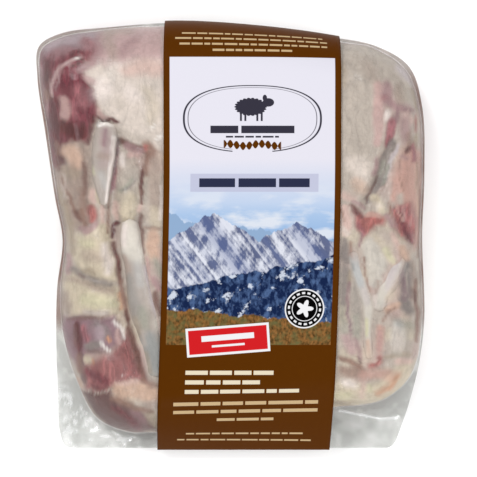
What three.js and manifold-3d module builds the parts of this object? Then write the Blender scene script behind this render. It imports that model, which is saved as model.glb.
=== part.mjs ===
// A vacuum pack of rack of lamb with a printed label band round it.
//
// Two racks lie nested head to tail in one shrunk clear bag. The upper rack has its eye muscle
// and fat cap along the far end; the lower rack shows its bone side, with rib ends that stand
// up under the film. A flat sealed flap runs along the near end. The band is a thin closed
// sleeve: down the front, round the flap's edge, along the underside and over the far end.
//
// Millimetres. The pack lies on its back: +Z up out of the shown side, +Y towards the band's
// top edge, +X to the right, and z = 0 on the surface it lies on.

import * as THREE from 'three';
import { mergeVertices } from 'three/addons/utils/BufferGeometryUtils.js';
import Module from 'manifold-3d';

// ---- driving dimensions ---------------------------------------------------------------

const CROWN_HEIGHT = 41;        // top of the contents at mid length
const WEDGE = 4.5;              // extra height at the far end, missing at the near end
const CROWN_DROP = 3;           // fall of the top towards the two long sides
const SIDE_SEAM_HEIGHT = 15;    // where the film edge runs along the two sides and the far end
const FLAP_HEIGHT = 8;          // the sealed flap's edge above the surface
const FILM_FOLD = 1.2;          // thickness of the doubled, crinkled film
const SHOULDER = 20;            // edge rounding of the contents, upper side
const HEEL = 16;                // edge rounding of the contents, under side
const FLAP_EDGE_Y = -99;        // the straight sealed edge
const FLAP_UNDER_BAND = 11.5;   // bare flap beyond the contents at x = 0
const FLAP_WIDENING = 0.16;     // and how much more of it there is for each step to the right

const BAND_WIDTH = 80.4;
const BAND_THICKNESS = 0.4;
const BAND_GAP = 0.5;           // between the band and the film
const BAND_FAR_X = 10;          // the band's middle at the far end
const BAND_NEAR_X = 6;          // the band's middle at the flap
const BAND_BEND_Y = 35;         // from here on the band leans towards the near end
const BAND_BEND_POWER = 1.6;    // how late the lean comes
const RECESS_MARGIN = 1.5;      // the contents are pressed in this much wider than the band
const SMOOTH_MARGIN = 4;        // the film lies smooth this far beside the band
const RELIEF_RISE = 7;          // and its relief has come up after this much more

// How a sleeve pulled tight rises from the flap's edge, on the shown side and the under side:
// the length it takes, how much of the bare flap that adds, and how full the curve is.
const TAUT_UPPER = { length: 22, perFlap: 0.95, fullness: 1.7 };
const TAUT_UNDER = { length: 12, perFlap: 1.13, fullness: 1.6 };

const SECTORS = 156;            // facets round the pack
const SIDE_CROWDING = 0.16;     // how much closer together they are on the two long sides
const BAND_COLUMNS = 8;         // facets across the band
const BAND_STATIONS = [0.02, 0.8, 2, 4, 6.5, 9, 11.5, 14, 16.5, 19.5, 22.5, 26, 29.5, 33, 37, 41.5,
  46.5, 54, 66, 82];            // its facets' corners, from each end

const FAT_COLOUR = '#cfc0b4';
const BAND_COLOUR = '#5a2f08';

// Outline of the contents, seen from above, anticlockwise from the near right.
const CONTENTS_OUTLINE = [
  [86, -57], [88, -38], [87, 0], [88, 28], [87, 58], [81, 76], [67, 86], [48, 91],
  [16, 95.5], [-24, 98], [-56, 95], [-78, 91.5], [-87, 86], [-88, 74], [-84, 48], [-79.5, 18],
  [-76, -2], [-78, -24], [-77.5, -40], [-76, -50], [-70.5, -68], [-62, -84], [-48, -90.5],
  [-30, -92], [0, -88], [34, -82.5], [56, -79], [71, -75.5], [81.5, -67],
];

// Outline of the bag: it hugs the contents and stands off only at the near end.
const BAG_OUTLINE = [
  [88, -58], [90, -38], [89, 0], [90, 28], [89, 60], [83, 78.5], [68, 88], [48, 92.2],
  [16, 96.5], [-24, 99], [-56, 97], [-79, 94], [-89, 88], [-89.7, 74], [-86, 48], [-81.5, 18],
  [-78, -2], [-80.5, -24], [-81, -50], [-80.5, -75], [-80, -90], [-77, -98], [-66, FLAP_EDGE_Y],
  [-33, FLAP_EDGE_Y], [0, FLAP_EDGE_Y], [36, FLAP_EDGE_Y], [64, FLAP_EDGE_Y], [75, -98.2],
  [80, -88], [85, -72],
];

// Rib bones and ridges that stand up under the film: a path, its half width at each end, its height.
const RIDGES = [
  { path: [[-57, 51], [-59, 8]], halfWidth: [6.5, 4.5], height: 4.5 },                       // short rib
  { path: [[-50, 5], [-43, -14], [-39, -38], [-33, -62]], halfWidth: [6, 6.5], height: 5 },  // long rib
  { path: [[53, -6], [58, -20], [64, -34]], halfWidth: [5, 4], height: 3.5 },                // right rib
  { path: [[77, -12], [65, -34], [60, -52]], halfWidth: [4.5, 4], height: 3 },               // chine ridge
  { path: [[75, 39], [68, 20]], halfWidth: [4, 4], height: 2.5 },                            // cap fold
  { path: [[48, -71], [64, -69], [76, -60]], halfWidth: [6, 6], height: 2 },                 // fat roll
];

// Creases that the film bridges: a path, its half width, its depth.
const CREASES = [
  { path: [[-60, 54], [-52, 44], [-44, 35], [-34, 38]], halfWidth: 4, depth: 2.5 },
  { path: [[-53, 42], [-53, 8]], halfWidth: 4, depth: 3 },
  { path: [[-41, 36], [-41, 8]], halfWidth: 3.5, depth: 2 },
  { path: [[-54, 2], [-48, -40], [-43, -62]], halfWidth: 4, depth: 3.5 },
  { path: [[-82, 22], [-66, 10], [-52, 6]], halfWidth: 6, depth: 3 },
  { path: [[-72, -15], [-54, -22]], halfWidth: 4, depth: 2 },
  { path: [[-76, -34], [-54, -36]], halfWidth: 5, depth: 2.5 },
  { path: [[-72, -71], [-50, -73]], halfWidth: 4, depth: 2 },
  { path: [[73, 46], [63, 17]], halfWidth: 4.5, depth: 4 },
  { path: [[52, 8], [70, 2], [86, 6]], halfWidth: 7, depth: 2.5 },
];

// Broad swellings of muscle and fat: centre, half lengths along X and Y, height.
const SWELLINGS = [
  { centre: [-70, 64], size: [18, 26], height: 1.5 },   // eye muscle
  { centre: [-46, 62], size: [22, 26], height: 3 },     // fat cap
  { centre: [-63, -12], size: [14, 20], height: 2 },    // belly fat
  { centre: [-62, -52], size: [16, 16], height: 2 },    // shoulder meat
  { centre: [62, 56], size: [18, 34], height: 2 },      // right fat cap
  { centre: [78, 14], size: [12, 20], height: 1.5 },
];

// ---- small maths ----------------------------------------------------------------------

const clamp = THREE.MathUtils.clamp;
const lerp = THREE.MathUtils.lerp;
const smooth = THREE.MathUtils.smoothstep;

// Quarter round: 0 at the edge, upright there, and 1 from one radius inwards.
function quarterRound(distance, radius) {
  const t = clamp(distance / radius, 0, 1);
  return Math.sqrt(1 - (1 - t) ** 2);
}

// Points along a smooth closed curve through the given corners.
function closedCurve(corners, count) {
  const points = corners.map(([x, y]) => new THREE.Vector3(x, y, 0));
  const curve = new THREE.CatmullRomCurve3(points, true, 'centripetal');
  return curve.getSpacedPoints(count).slice(0, count);
}

// Distance from a point to an open or closed row of points, and how far along it that is.
function nearestOnPath(x, y, path, closed) {
  const last = closed ? path.length : path.length - 1;
  let nearest = Infinity;
  let along = 0;
  for (let i = 0; i < last; i += 1) {
    const a = path[i];
    const b = path[(i + 1) % path.length];
    const dx = b.x - a.x;
    const dy = b.y - a.y;
    const t = clamp(((x - a.x) * dx + (y - a.y) * dy) / (dx * dx + dy * dy), 0, 1);
    const distance = Math.hypot(x - a.x - t * dx, y - a.y - t * dy);
    if (distance < nearest) {
      nearest = distance;
      along = (i + t) / last;
    }
  }
  return { distance: nearest, along };
}

function isInside(x, y, loop) {
  let inside = false;
  for (let i = 0, j = loop.length - 1; i < loop.length; j = i, i += 1) {
    const a = loop[i];
    const b = loop[j];
    if ((a.y > y) !== (b.y > y) && x < ((b.x - a.x) * (y - a.y)) / (b.y - a.y) + a.x) inside = !inside;
  }
  return inside;
}

// Positive inside the loop, negative outside it.
function depthInside(x, y, loop) {
  const { distance } = nearestOnPath(x, y, loop, true);
  return isInside(x, y, loop) ? distance : -distance;
}

// Where a ray from the middle leaves the loop.
function radiusAt(angle, loop) {
  const direction = [Math.cos(angle), Math.sin(angle)];
  let radius = 0;
  for (let i = 0; i < loop.length; i += 1) {
    const a = loop[i];
    const b = loop[(i + 1) % loop.length];
    const crossA = direction[0] * a.y - direction[1] * a.x;
    const crossB = direction[0] * b.y - direction[1] * b.x;
    if (crossA * crossB > 0 || crossA === crossB) continue;
    const t = crossA / (crossA - crossB);
    const along = direction[0] * lerp(a.x, b.x, t) + direction[1] * lerp(a.y, b.y, t);
    radius = Math.max(radius, along);
  }
  return radius;
}

// The loop's lowest and highest y at one x.
function spanAt(x, loop) {
  const crossings = [];
  for (let i = 0; i < loop.length; i += 1) {
    const a = loop[i];
    const b = loop[(i + 1) % loop.length];
    if ((a.x > x) !== (b.x > x)) crossings.push(lerp(a.y, b.y, (x - a.x) / (b.x - a.x)));
  }
  return [Math.min(...crossings), Math.max(...crossings)];
}

// ---- the pack's form ------------------------------------------------------------------

const CURVE_POINTS = 400;
const contentsLoop = closedCurve(CONTENTS_OUTLINE, CURVE_POINTS);
const bagLoop = closedCurve(BAG_OUTLINE, CURVE_POINTS);
bagLoop.forEach((point) => point.setY(Math.max(point.y, FLAP_EDGE_Y)));
const asPath = ({ path }) => path.map(([x, y]) => new THREE.Vector2(x, y));
const ridgePaths = RIDGES.map(asPath);
const creasePaths = CREASES.map(asPath);

function bandMiddle(y) {
  const lean = clamp((BAND_BEND_Y - y) / (BAND_BEND_Y - FLAP_EDGE_Y), 0, 1);
  return lerp(BAND_FAR_X, BAND_NEAR_X, lean ** BAND_BEND_POWER);
}

function crownHeight(x, y) {
  return CROWN_HEIGHT + WEDGE * (y / 100) - CROWN_DROP * (x / 90) ** 2;
}

// The film edge runs low along the flap and at a third of the height elsewhere.
function seamHeight(y) {
  return lerp(SIDE_SEAM_HEIGHT, FLAP_HEIGHT, smooth(-y, 35, 85));
}

// Ridges, creases and swellings, which fade out under the band and towards the outline.
function relief(x, y, depth) {
  const offBand = Math.abs(x - bandMiddle(y)) - BAND_WIDTH / 2;
  const besideBand = smooth(offBand, SMOOTH_MARGIN, SMOOTH_MARGIN + RELIEF_RISE);
  const fade = besideBand * smooth(depth, 0, 0.7 * SHOULDER);
  if (fade === 0) return 0;
  let height = 0;
  RIDGES.forEach((ridge, i) => {
    const { distance, along } = nearestOnPath(x, y, ridgePaths[i], false);
    const halfWidth = lerp(ridge.halfWidth[0], ridge.halfWidth[1], along);
    height += ridge.height * (1 - smooth(distance, 0.25 * halfWidth, 1.25 * halfWidth));
  });
  CREASES.forEach((crease, i) => {
    const { distance } = nearestOnPath(x, y, creasePaths[i], false);
    height -= crease.depth * (1 - smooth(distance, 0, 1.3 * crease.halfWidth));
  });
  SWELLINGS.forEach(({ centre, size, height: swell }) => {
    const distance = Math.hypot((x - centre[0]) / size[0], (y - centre[1]) / size[1]);
    height += swell * (1 - smooth(distance, 0.2, 1.1));
  });
  return height * fade;
}

// How far the contents stop short of the flap's edge under the band: little at its left edge
// and a good thumb's width at its right.
function flapReach(x) {
  return FLAP_UNDER_BAND + FLAP_WIDENING * x;
}

// 1 at the flap's edge, falling to 0 where a tight sleeve first lies on the contents.
function tautFall(x, y, { length, perFlap, fullness }) {
  const t = (y - FLAP_EDGE_Y) / (length + perFlap * flapReach(x));
  return (1 - clamp(t, 0, 1)) ** fullness;
}

// Taut envelope over the pack: what a sleeve pulled tight round it would touch, upper side.
function tautUpper(x, y) {
  const crown = crownHeight(x, y);
  if (y < 0) return lerp(crown, FLAP_HEIGHT + FILM_FOLD / 2, tautFall(x, y, TAUT_UPPER));
  const rise = quarterRound(depthInside(x, y, bagLoop), SHOULDER + 1);
  return lerp(SIDE_SEAM_HEIGHT + FILM_FOLD / 2, crown, rise);
}

// The same for the under side.
function tautUnder(x, y) {
  if (y < 0) return (FLAP_HEIGHT - FILM_FOLD / 2) * tautFall(x, y, TAUT_UNDER);
  const rise = quarterRound(depthInside(x, y, bagLoop), HEEL + 1);
  return (SIDE_SEAM_HEIGHT - FILM_FOLD / 2) * (1 - rise);
}

function isUnderBand(x, y) {
  return Math.abs(x - bandMiddle(y)) < BAND_WIDTH / 2 + SMOOTH_MARGIN;
}

function packUpper(x, y) {
  const depth = depthInside(x, y, contentsLoop);
  const film = seamHeight(y) + FILM_FOLD / 2;
  const contents = lerp(film, crownHeight(x, y), quarterRound(depth, SHOULDER)) + relief(x, y, depth);
  return isUnderBand(x, y) ? Math.max(film, Math.min(contents, tautUpper(x, y))) : contents;
}

function packUnder(x, y) {
  const film = seamHeight(y) - FILM_FOLD / 2;
  return film * (1 - quarterRound(depthInside(x, y, contentsLoop), HEEL));
}

// ---- meshes ---------------------------------------------------------------------------

// Closed body from rings of points, capped by a middle point above and one below.
function bodyFromRings(rings, upperMiddle, underMiddle) {
  const count = rings[0].length;
  const positions = [...rings.flat(2), ...upperMiddle, ...underMiddle];
  const upper = rings.length * count;
  const under = upper + 1;
  const index = [];
  for (let k = 0; k < count; k += 1) {
    const next = (k + 1) % count;
    index.push(upper, k, next);
    for (let r = 0; r + 1 < rings.length; r += 1) {
      const a = r * count;
      const b = a + count;
      index.push(a + k, b + k, b + next, a + k, b + next, a + next);
    }
    const last = (rings.length - 1) * count;
    index.push(under, last + next, last + k);
  }
  return indexedGeometry(positions, index);
}

function indexedGeometry(positions, index) {
  const geometry = new THREE.BufferGeometry();
  geometry.setAttribute('position', new THREE.Float32BufferAttribute(positions, 3));
  geometry.setIndex(index);
  geometry.computeVertexNormals();
  return geometry;
}

// Sector angles, closer together on the two long sides, where the contents show.
function sectorAngles() {
  const angles = [];
  for (let k = 0; k < SECTORS; k += 1) {
    const turn = (2 * Math.PI * k) / SECTORS;
    angles.push(turn - SIDE_CROWDING * Math.sin(2 * turn));
  }
  return angles;
}

const UPPER_RINGS = [0.18, 0.32, 0.4, 0.46, 0.51, 0.555, 0.6, 0.64, 0.68, 0.72, 0.76, 0.8,
  0.84, 0.875, 0.905, 0.935, 0.96, 0.98, 0.993];
const UNDER_RINGS = [0.99, 0.965, 0.93, 0.88, 0.82, 0.74];

function packGeometry() {
  const angles = sectorAngles();
  const contentsRadius = angles.map((angle) => radiusAt(angle, contentsLoop));
  const bagRadius = angles.map((angle) => radiusAt(angle, bagLoop));
  const ring = (radiusOf, heightOf) => angles.map((angle, k) => {
    const x = Math.cos(angle) * radiusOf(k);
    const y = Math.sin(angle) * radiusOf(k);
    return [x, y, heightOf(x, y)];
  });
  const flapTop = (x, y) => seamHeight(y) + FILM_FOLD / 2;
  const flapUnder = (x, y) => seamHeight(y) - FILM_FOLD / 2;
  const rings = [
    ...UPPER_RINGS.map((f) => ring((k) => contentsRadius[k] * f, packUpper)),
    ring((k) => contentsRadius[k], flapTop),
    ring((k) => bagRadius[k], flapTop),
    ring((k) => bagRadius[k], flapUnder),
    ring((k) => contentsRadius[k], flapUnder),
    ...UNDER_RINGS.map((f) => ring((k) => contentsRadius[k] * f, packUnder)),
  ];
  return bodyFromRings(rings, [0, 0, packUpper(0, 0)], [0, 0, 0]);
}

// The shallow place in the under side where the band presses the contents in.
function recessGeometry() {
  const reach = 110;      // past both ends of the pack
  const half = BAND_WIDTH / 2 + RECESS_MARGIN;
  const depth = BAND_GAP + BAND_THICKNESS;
  const lean = (BAND_FAR_X - BAND_NEAR_X) / (2 * -FLAP_EDGE_Y);
  const middleAt = (y) => (BAND_FAR_X + BAND_NEAR_X) / 2 + lean * y;
  const shape = new THREE.Shape();
  shape.moveTo(middleAt(-reach) - half, -reach);
  shape.lineTo(middleAt(-reach) + half, -reach);
  shape.lineTo(middleAt(reach) + half, reach);
  shape.lineTo(middleAt(reach) - half, reach);
  shape.closePath();
  const geometry = new THREE.ExtrudeGeometry(shape, { depth: depth + 1, bevelEnabled: false });
  return geometry.translate(0, 0, -1);
}

// One closed section of the band at an offset across it: [x, y, z] all the way round.
function bandSection(across) {
  const near = FLAP_EDGE_Y;
  const far = spanAt(BAND_FAR_X + across, bagLoop)[1];
  const stations = [
    ...BAND_STATIONS.map((distance) => near + distance),
    ...BAND_STATIONS.map((distance) => far - distance).reverse(),
  ];
  const front = stations.map((y) => {
    const x = bandMiddle(y) + across;
    return [x, y, tautUpper(x, y)];
  });
  const back = stations.map((y) => {
    const x = lerp(BAND_NEAR_X, BAND_FAR_X, (y - near) / (far - near)) + across;
    return [x, y, Math.max(BAND_GAP + BAND_THICKNESS, tautUnder(x, y))];
  });
  return [...front, ...back.reverse()];
}

// The section moved outwards in its own plane.
function movedOut(section, distance) {
  return section.map(([x, y, z], j) => {
    const before = section[(j + section.length - 1) % section.length];
    const after = section[(j + 1) % section.length];
    const along = new THREE.Vector2(after[1] - before[1], after[2] - before[2]).normalize();
    return [x, y - along.y * distance, z + along.x * distance];
  });
}

function bandGeometry() {
  const inner = [];
  const outer = [];
  for (let i = 0; i <= BAND_COLUMNS; i += 1) {
    const section = bandSection(lerp(-BAND_WIDTH / 2, BAND_WIDTH / 2, i / BAND_COLUMNS));
    inner.push(movedOut(section, BAND_GAP));
    outer.push(movedOut(section, BAND_GAP + BAND_THICKNESS));
  }
  const steps = inner[0].length;
  const positions = [...inner.flat(2), ...outer.flat(2)];
  const last = BAND_COLUMNS;
  const inside = (i, j) => i * steps + (j % steps);
  const outside = (i, j) => (BAND_COLUMNS + 1 + i) * steps + (j % steps);
  const index = [];
  const quad = (a, b, c, d) => index.push(a, b, c, a, c, d);
  for (let j = 0; j < steps; j += 1) {
    for (let i = 0; i < last; i += 1) {
      quad(outside(i, j), outside(i + 1, j), outside(i + 1, j + 1), outside(i, j + 1));
      quad(inside(i, j), inside(i, j + 1), inside(i + 1, j + 1), inside(i + 1, j));
    }
    quad(inside(0, j), outside(0, j), outside(0, j + 1), inside(0, j + 1));
    quad(inside(last, j), inside(last, j + 1), outside(last, j + 1), outside(last, j));
  }
  return indexedGeometry(positions, index);
}

const wasm = await Module();
wasm.setup();

function toManifold(geometry) {
  const bare = geometry.clone();
  bare.deleteAttribute('normal');
  bare.deleteAttribute('uv');
  const merged = mergeVertices(bare);
  return new wasm.Manifold(new wasm.Mesh({
    numProp: 3,
    vertProperties: new Float32Array(merged.attributes.position.array),
    triVerts: new Uint32Array(merged.index.array),
  }));
}

function fromManifold(solid) {
  const mesh = solid.getMesh();
  return indexedGeometry(Array.from(mesh.vertProperties), Array.from(mesh.triVerts));
}

function namedMesh(name, geometry, material) {
  const mesh = new THREE.Mesh(geometry, new THREE.MeshStandardMaterial(material));
  mesh.name = name;
  return mesh;
}

const group = new THREE.Group();
const pressedPack = toManifold(packGeometry()).subtract(toManifold(recessGeometry()));
group.add(
  namedMesh('vacuum_pack', fromManifold(pressedPack), { color: FAT_COLOUR, roughness: 0.25, metalness: 0 }),
  namedMesh('label_band', bandGeometry(), { color: BAND_COLOUR, roughness: 0.45, metalness: 0 }),
);

export default group;
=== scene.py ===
# A vacuum pack of rack of lamb. Two racks lie nested head to tail in one shrunk clear bag with a
# flat sealed flap, and a printed card sleeve runs lengthways round the pack. Sizes are in
# millimetres, +Z up out of the shown side, +Y towards the far end, z = 0 where the pack lies.

import bpy
import numpy as np
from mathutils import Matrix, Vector


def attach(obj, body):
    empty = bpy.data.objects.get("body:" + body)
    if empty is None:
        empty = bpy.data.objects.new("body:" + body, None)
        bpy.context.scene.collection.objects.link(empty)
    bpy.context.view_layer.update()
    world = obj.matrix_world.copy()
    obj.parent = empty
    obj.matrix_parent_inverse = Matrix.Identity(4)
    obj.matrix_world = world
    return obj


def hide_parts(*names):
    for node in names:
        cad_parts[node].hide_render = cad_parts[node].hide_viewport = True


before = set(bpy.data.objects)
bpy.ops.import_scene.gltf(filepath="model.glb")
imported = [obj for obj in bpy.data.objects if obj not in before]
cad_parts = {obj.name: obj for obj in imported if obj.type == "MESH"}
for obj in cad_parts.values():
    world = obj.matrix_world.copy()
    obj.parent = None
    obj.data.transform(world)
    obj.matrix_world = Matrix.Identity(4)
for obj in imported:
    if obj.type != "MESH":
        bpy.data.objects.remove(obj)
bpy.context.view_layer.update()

MM = 0.001


# ---- the two racks ----------------------------------------------------------------------------
# Raw lamb: lean, fat and membrane, pressed into one block by the shrunk bag. The upper rack has
# its eye muscle and fat cap along the far end; the lower rack lies bone side up and carries on
# down to the flap. They meet on a slanting face that starts in the crevice under the fat cap.

CROWN_HEIGHT = 41.0      # top of the contents at mid length
WEDGE = 4.5              # extra height at the far end, missing at the near end
CROWN_DROP = 3.0         # fall of the top towards the two long sides
SIDE_SEAM = 15.0         # height of the film edge along the sides and the far end
FLAP_SEAM = 8.0          # and along the sealed flap
SHOULDER = 20.0          # rounding of the contents, upper side
HEEL = 16.0              # rounding of the contents, under side
FLAP_EDGE = -99.0        # the straight sealed edge
FLAP_HALF = 0.6          # half of the flap's height where the sleeve passes over it
SKIN = 0.35              # the flesh lies this far inside the film

SLEEVE_WIDTH = 80.4
SLEEVE_CARD = 0.4
SLEEVE_GAP = 0.5
SLEEVE_RECESS = SLEEVE_GAP + SLEEVE_CARD
SLEEVE_FAR_X, SLEEVE_NEAR_X = 10.0, 6.0
SMOOTH_MARGIN = 4.0      # the film lies smooth this far beside the sleeve
RELIEF_RISE = 7.0        # and its relief has come up after this much more

CONTENTS_OUTLINE = [
    (86, -57), (88, -38), (87, 0), (88, 28), (87, 58), (81, 76), (67, 86), (48, 91),
    (16, 95.5), (-24, 98), (-56, 95), (-78, 91.5), (-87, 86), (-88, 74), (-84, 48), (-79.5, 18),
    (-76, -2), (-78, -24), (-77.5, -40), (-76, -50), (-70.5, -68), (-62, -84), (-48, -90.5),
    (-30, -92), (0, -88), (34, -82.5), (56, -79), (71, -75.5), (81.5, -67),
]
BAG_OUTLINE = [
    (88, -58), (90, -38), (89, 0), (90, 28), (89, 60), (83, 78.5), (68, 88), (48, 92.2),
    (16, 96.5), (-24, 99), (-56, 97), (-79, 94), (-89, 88), (-89.7, 74), (-86, 48),
    (-81.5, 18), (-78, -2), (-80.5, -24), (-81, -50), (-80.5, -75), (-80, -90), (-77, -98),
    (-66, FLAP_EDGE), (-33, FLAP_EDGE), (0, FLAP_EDGE), (36, FLAP_EDGE), (64, FLAP_EDGE),
    (75, -98.2), (80, -88), (85, -72),
]

# Creases between the pieces of meat: a path, its half width, its depth.
CREASES = [
    ([(-60, 54), (-52, 44), (-44, 35), (-34, 38)], 4, 2.6),
    ([(-53, 42), (-53, 8)], 4, 2.6),
    ([(-41, 36), (-41, 8)], 3.5, 2),
    ([(-54, 2), (-48, -40), (-43, -62)], 4, 2.8),
    ([(-82, 22), (-66, 10), (-52, 6)], 5, 2),
    ([(-72, -13), (-66, -19), (-54, -22)], 3, 1.8),
    ([(-76, -36), (-50, -37)], 3, 1.5),
    ([(-71, -72.5), (-52, -72)], 2.2, 1.8),
    ([(73, 41), (69, 28), (62.5, 15)], 4, 3.2),
    ([(54, 9), (68, 6), (86, 4)], 5, 1.6),
    ([(52, -2), (52, -10)], 2.6, 1.6),
    ([(70, -31), (75, -34), (80, -38)], 3, 1.2),
    ([(50, -60), (66, -59), (84, -56)], 3, 1.4),
    ([(-66, 40), (-64, 8)], 2.4, 1.4),
]

# Broad swellings of muscle and fat: centre, half lengths along X and Y, height.
SWELLINGS = [
    ((-70, 64), (18, 26), 1.6), ((-46, 62), (20, 24), 3.2), ((-72, 34), (8, 12), 2.0),
    ((-46, 12), (8, 13), 1.6), ((-62, 9), (5, 7), 1.2), ((-63, -6), (13, 12), 2.6),
    ((-62, -29), (15, 10), 2.2), ((-60, -43), (6, 6), 1.4), ((-53, -60), (15, 10), 2.4),
    ((-41, -74), (13, 7), 2.2), ((60, 58), (16, 32), 2.2), ((81, 27), (7, 16), 1.4),
    ((59, 24), (10, 12), 1.6), ((68, 12), (5, 5), 1.0), ((64, -14), (8, 9), 1.0),
    ((79, -7), (8, 8), 1.6), ((74, -43), (9, 10), 1.2), ((62, -72), (20, 6), 2.2),
]


def smooth_loop(corners, per_side=12):
    """A smooth closed curve through the corners, as a loop of points."""
    p1 = np.array(corners, float)
    p0, p2, p3 = np.roll(p1, 1, 0), np.roll(p1, -1, 0), np.roll(p1, -2, 0)
    gap_0, gap_1, gap_2 = (np.sqrt(np.hypot(*(b - a).T))[:, None]
                           for a, b in ((p0, p1), (p1, p2), (p2, p3)))
    start = ((p1 - p0) / gap_0 - (p2 - p0) / (gap_0 + gap_1) + (p2 - p1) / gap_1) * gap_1
    stop = ((p2 - p1) / gap_1 - (p3 - p1) / (gap_1 + gap_2) + (p3 - p2) / gap_2) * gap_1
    t = (np.arange(per_side) / per_side)[:, None, None]
    curve = (p1 + start * t + (3 * (p2 - p1) - 2 * start - stop) * t**2
             + (2 * (p1 - p2) + start + stop) * t**3)
    return curve.transpose(1, 0, 2).reshape(-1, 2)


contents_loop = smooth_loop(CONTENTS_OUTLINE)
bag_loop = smooth_loop(BAG_OUTLINE)
bag_loop[:, 1] = np.maximum(bag_loop[:, 1], FLAP_EDGE)


def ease(value, low, high):
    """0 below low, 1 above high, and a smooth step between them."""
    t = np.clip((value - low) / (high - low), 0, 1)
    return t * t * (3 - 2 * t)


def quarter_round(distance, radius):
    """0 and upright at the edge, 1 and level from one radius inwards."""
    return np.sqrt(1 - (1 - np.clip(distance / radius, 0, 1)) ** 2)


def path_distance(points, path, closed=False):
    """Distance from points to a row of points, and how far along it the nearest place is."""
    path = np.asarray(path, float)
    starts = path if closed else path[:-1]
    ends = np.roll(path, -1, 0) if closed else path[1:]
    nearest, along = np.full(len(points), np.inf), np.zeros(len(points))
    for i, (a, b) in enumerate(zip(starts, ends)):
        t = np.clip((points - a) @ (b - a) / max((b - a) @ (b - a), 1e-9), 0, 1)
        gap = np.hypot(*(points - a - t[:, None] * (b - a)).T)
        closer = gap < nearest
        nearest = np.where(closer, gap, nearest)
        along = np.where(closer, (i + t) / len(starts), along)
    return nearest, along


def depth_inside(points, loop):
    """Distance inwards from a loop: positive inside it, negative outside."""
    loop = np.asarray(loop, float)
    x, y = points.T
    inside = np.zeros(len(points), bool)
    for (ax, ay), (bx, by) in zip(loop, np.roll(loop, 1, 0)):
        if ay != by:
            inside ^= ((ay > y) != (by > y)) & (x < (bx - ax) * (y - ay) / (by - ay) + ax)
    return np.where(inside, 1, -1) * path_distance(points, loop, closed=True)[0]


def soft_noise(points, cell, seed):
    """Smooth noise from -1 to 1 with lumps about one cell across, for points in 2 or 3 axes."""
    table = np.random.default_rng(seed).uniform(-1, 1, (32, 32, 32))
    place = np.zeros((len(points), 3))
    place[:, :points.shape[1]] = points / cell
    corner = np.floor(place).astype(int)
    f = place - corner
    f = f * f * (3 - 2 * f)
    total = np.zeros(len(points))
    for step in np.ndindex(2, 2, 2):
        weight = np.prod(np.where(step, f, 1 - f), axis=1)
        total += weight * table[tuple(((corner + step) % 32).T)]
    return total


def sleeve_middle(y):
    return SLEEVE_FAR_X + (SLEEVE_NEAR_X - SLEEVE_FAR_X) * np.clip((35 - y) / 134, 0, 1) ** 1.6


def beside_sleeve(points):
    """Distance outwards from the sleeve's edge, negative under the sleeve."""
    return np.abs(points[:, 0] - sleeve_middle(points[:, 1])) - SLEEVE_WIDTH / 2


def crown(points):
    x, y = points.T
    return CROWN_HEIGHT + WEDGE * y / 100 - CROWN_DROP * (x / 90) ** 2


def seam_height(y):
    return SIDE_SEAM + (FLAP_SEAM - SIDE_SEAM) * ease(-y, 35, 85)


def taut_fall(points, length, per_flap, fullness):
    """1 at the flap's edge, falling to 0 where a tight sleeve first lies on the contents."""
    x, y = points.T
    t = (y - FLAP_EDGE) / (length + per_flap * (11.5 + 0.16 * x))
    return (1 - np.clip(t, 0, 1)) ** fullness


def taut_upper(points):
    """Height of a sleeve pulled tight round the pack, shown side."""
    top = crown(points)
    near = top + (FLAP_SEAM + FLAP_HALF - top) * taut_fall(points, 22, 0.95, 1.7)
    rise = quarter_round(depth_inside(points, bag_loop), SHOULDER + 1)
    seam = SIDE_SEAM + FLAP_HALF
    far = seam + (top - seam) * rise
    return np.where(points[:, 1] < 0, near, far)


def taut_under(points):
    """The same on the under side."""
    rise = quarter_round(depth_inside(points, bag_loop), HEEL + 1)
    near = (FLAP_SEAM - FLAP_HALF) * taut_fall(points, 12, 1.13, 1.6)
    return np.where(points[:, 1] < 0, near, (SIDE_SEAM - FLAP_HALF) * (1 - rise))


def relief_fade(points, depth):
    """Relief fades out under the sleeve and towards the outline."""
    beside = ease(beside_sleeve(points), SMOOTH_MARGIN, SMOOTH_MARGIN + RELIEF_RISE)
    return beside * ease(depth, 0, 0.7 * SHOULDER)


def flesh_top(points):
    """Height of the meat's and fat's upper surface."""
    depth = depth_inside(points, contents_loop)
    seam = seam_height(points[:, 1])
    height = np.zeros(len(points))
    for path, half_width, deep in CREASES:
        height -= deep * (1 - ease(path_distance(points, path)[0], 0, 1.3 * half_width))
    for centre, size, swell in SWELLINGS:
        distance = np.hypot(*((points - centre) / size).T)
        height += swell * (1 - ease(distance, 0.2, 1.1))
    height += 0.45 * soft_noise(points, 7, 11) + 0.22 * soft_noise(points, 2.8, 12)
    top = seam + (crown(points) - seam) * quarter_round(depth, SHOULDER)
    top += height * relief_fade(points, depth) - SKIN
    pressed = np.minimum(top, taut_upper(points) - SKIN)
    return np.where(beside_sleeve(points) < SMOOTH_MARGIN, pressed, top)


def under_height(points, clearance):
    """Height of the under side, flat on the table and pressed in a little under the sleeve."""
    rise = quarter_round(depth_inside(points, contents_loop), HEEL)
    recess = SLEEVE_RECESS * (1 - ease(beside_sleeve(points), 0.5, 3))
    return seam_height(points[:, 1]) * (1 - rise) + (clearance + recess) * rise


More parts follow.
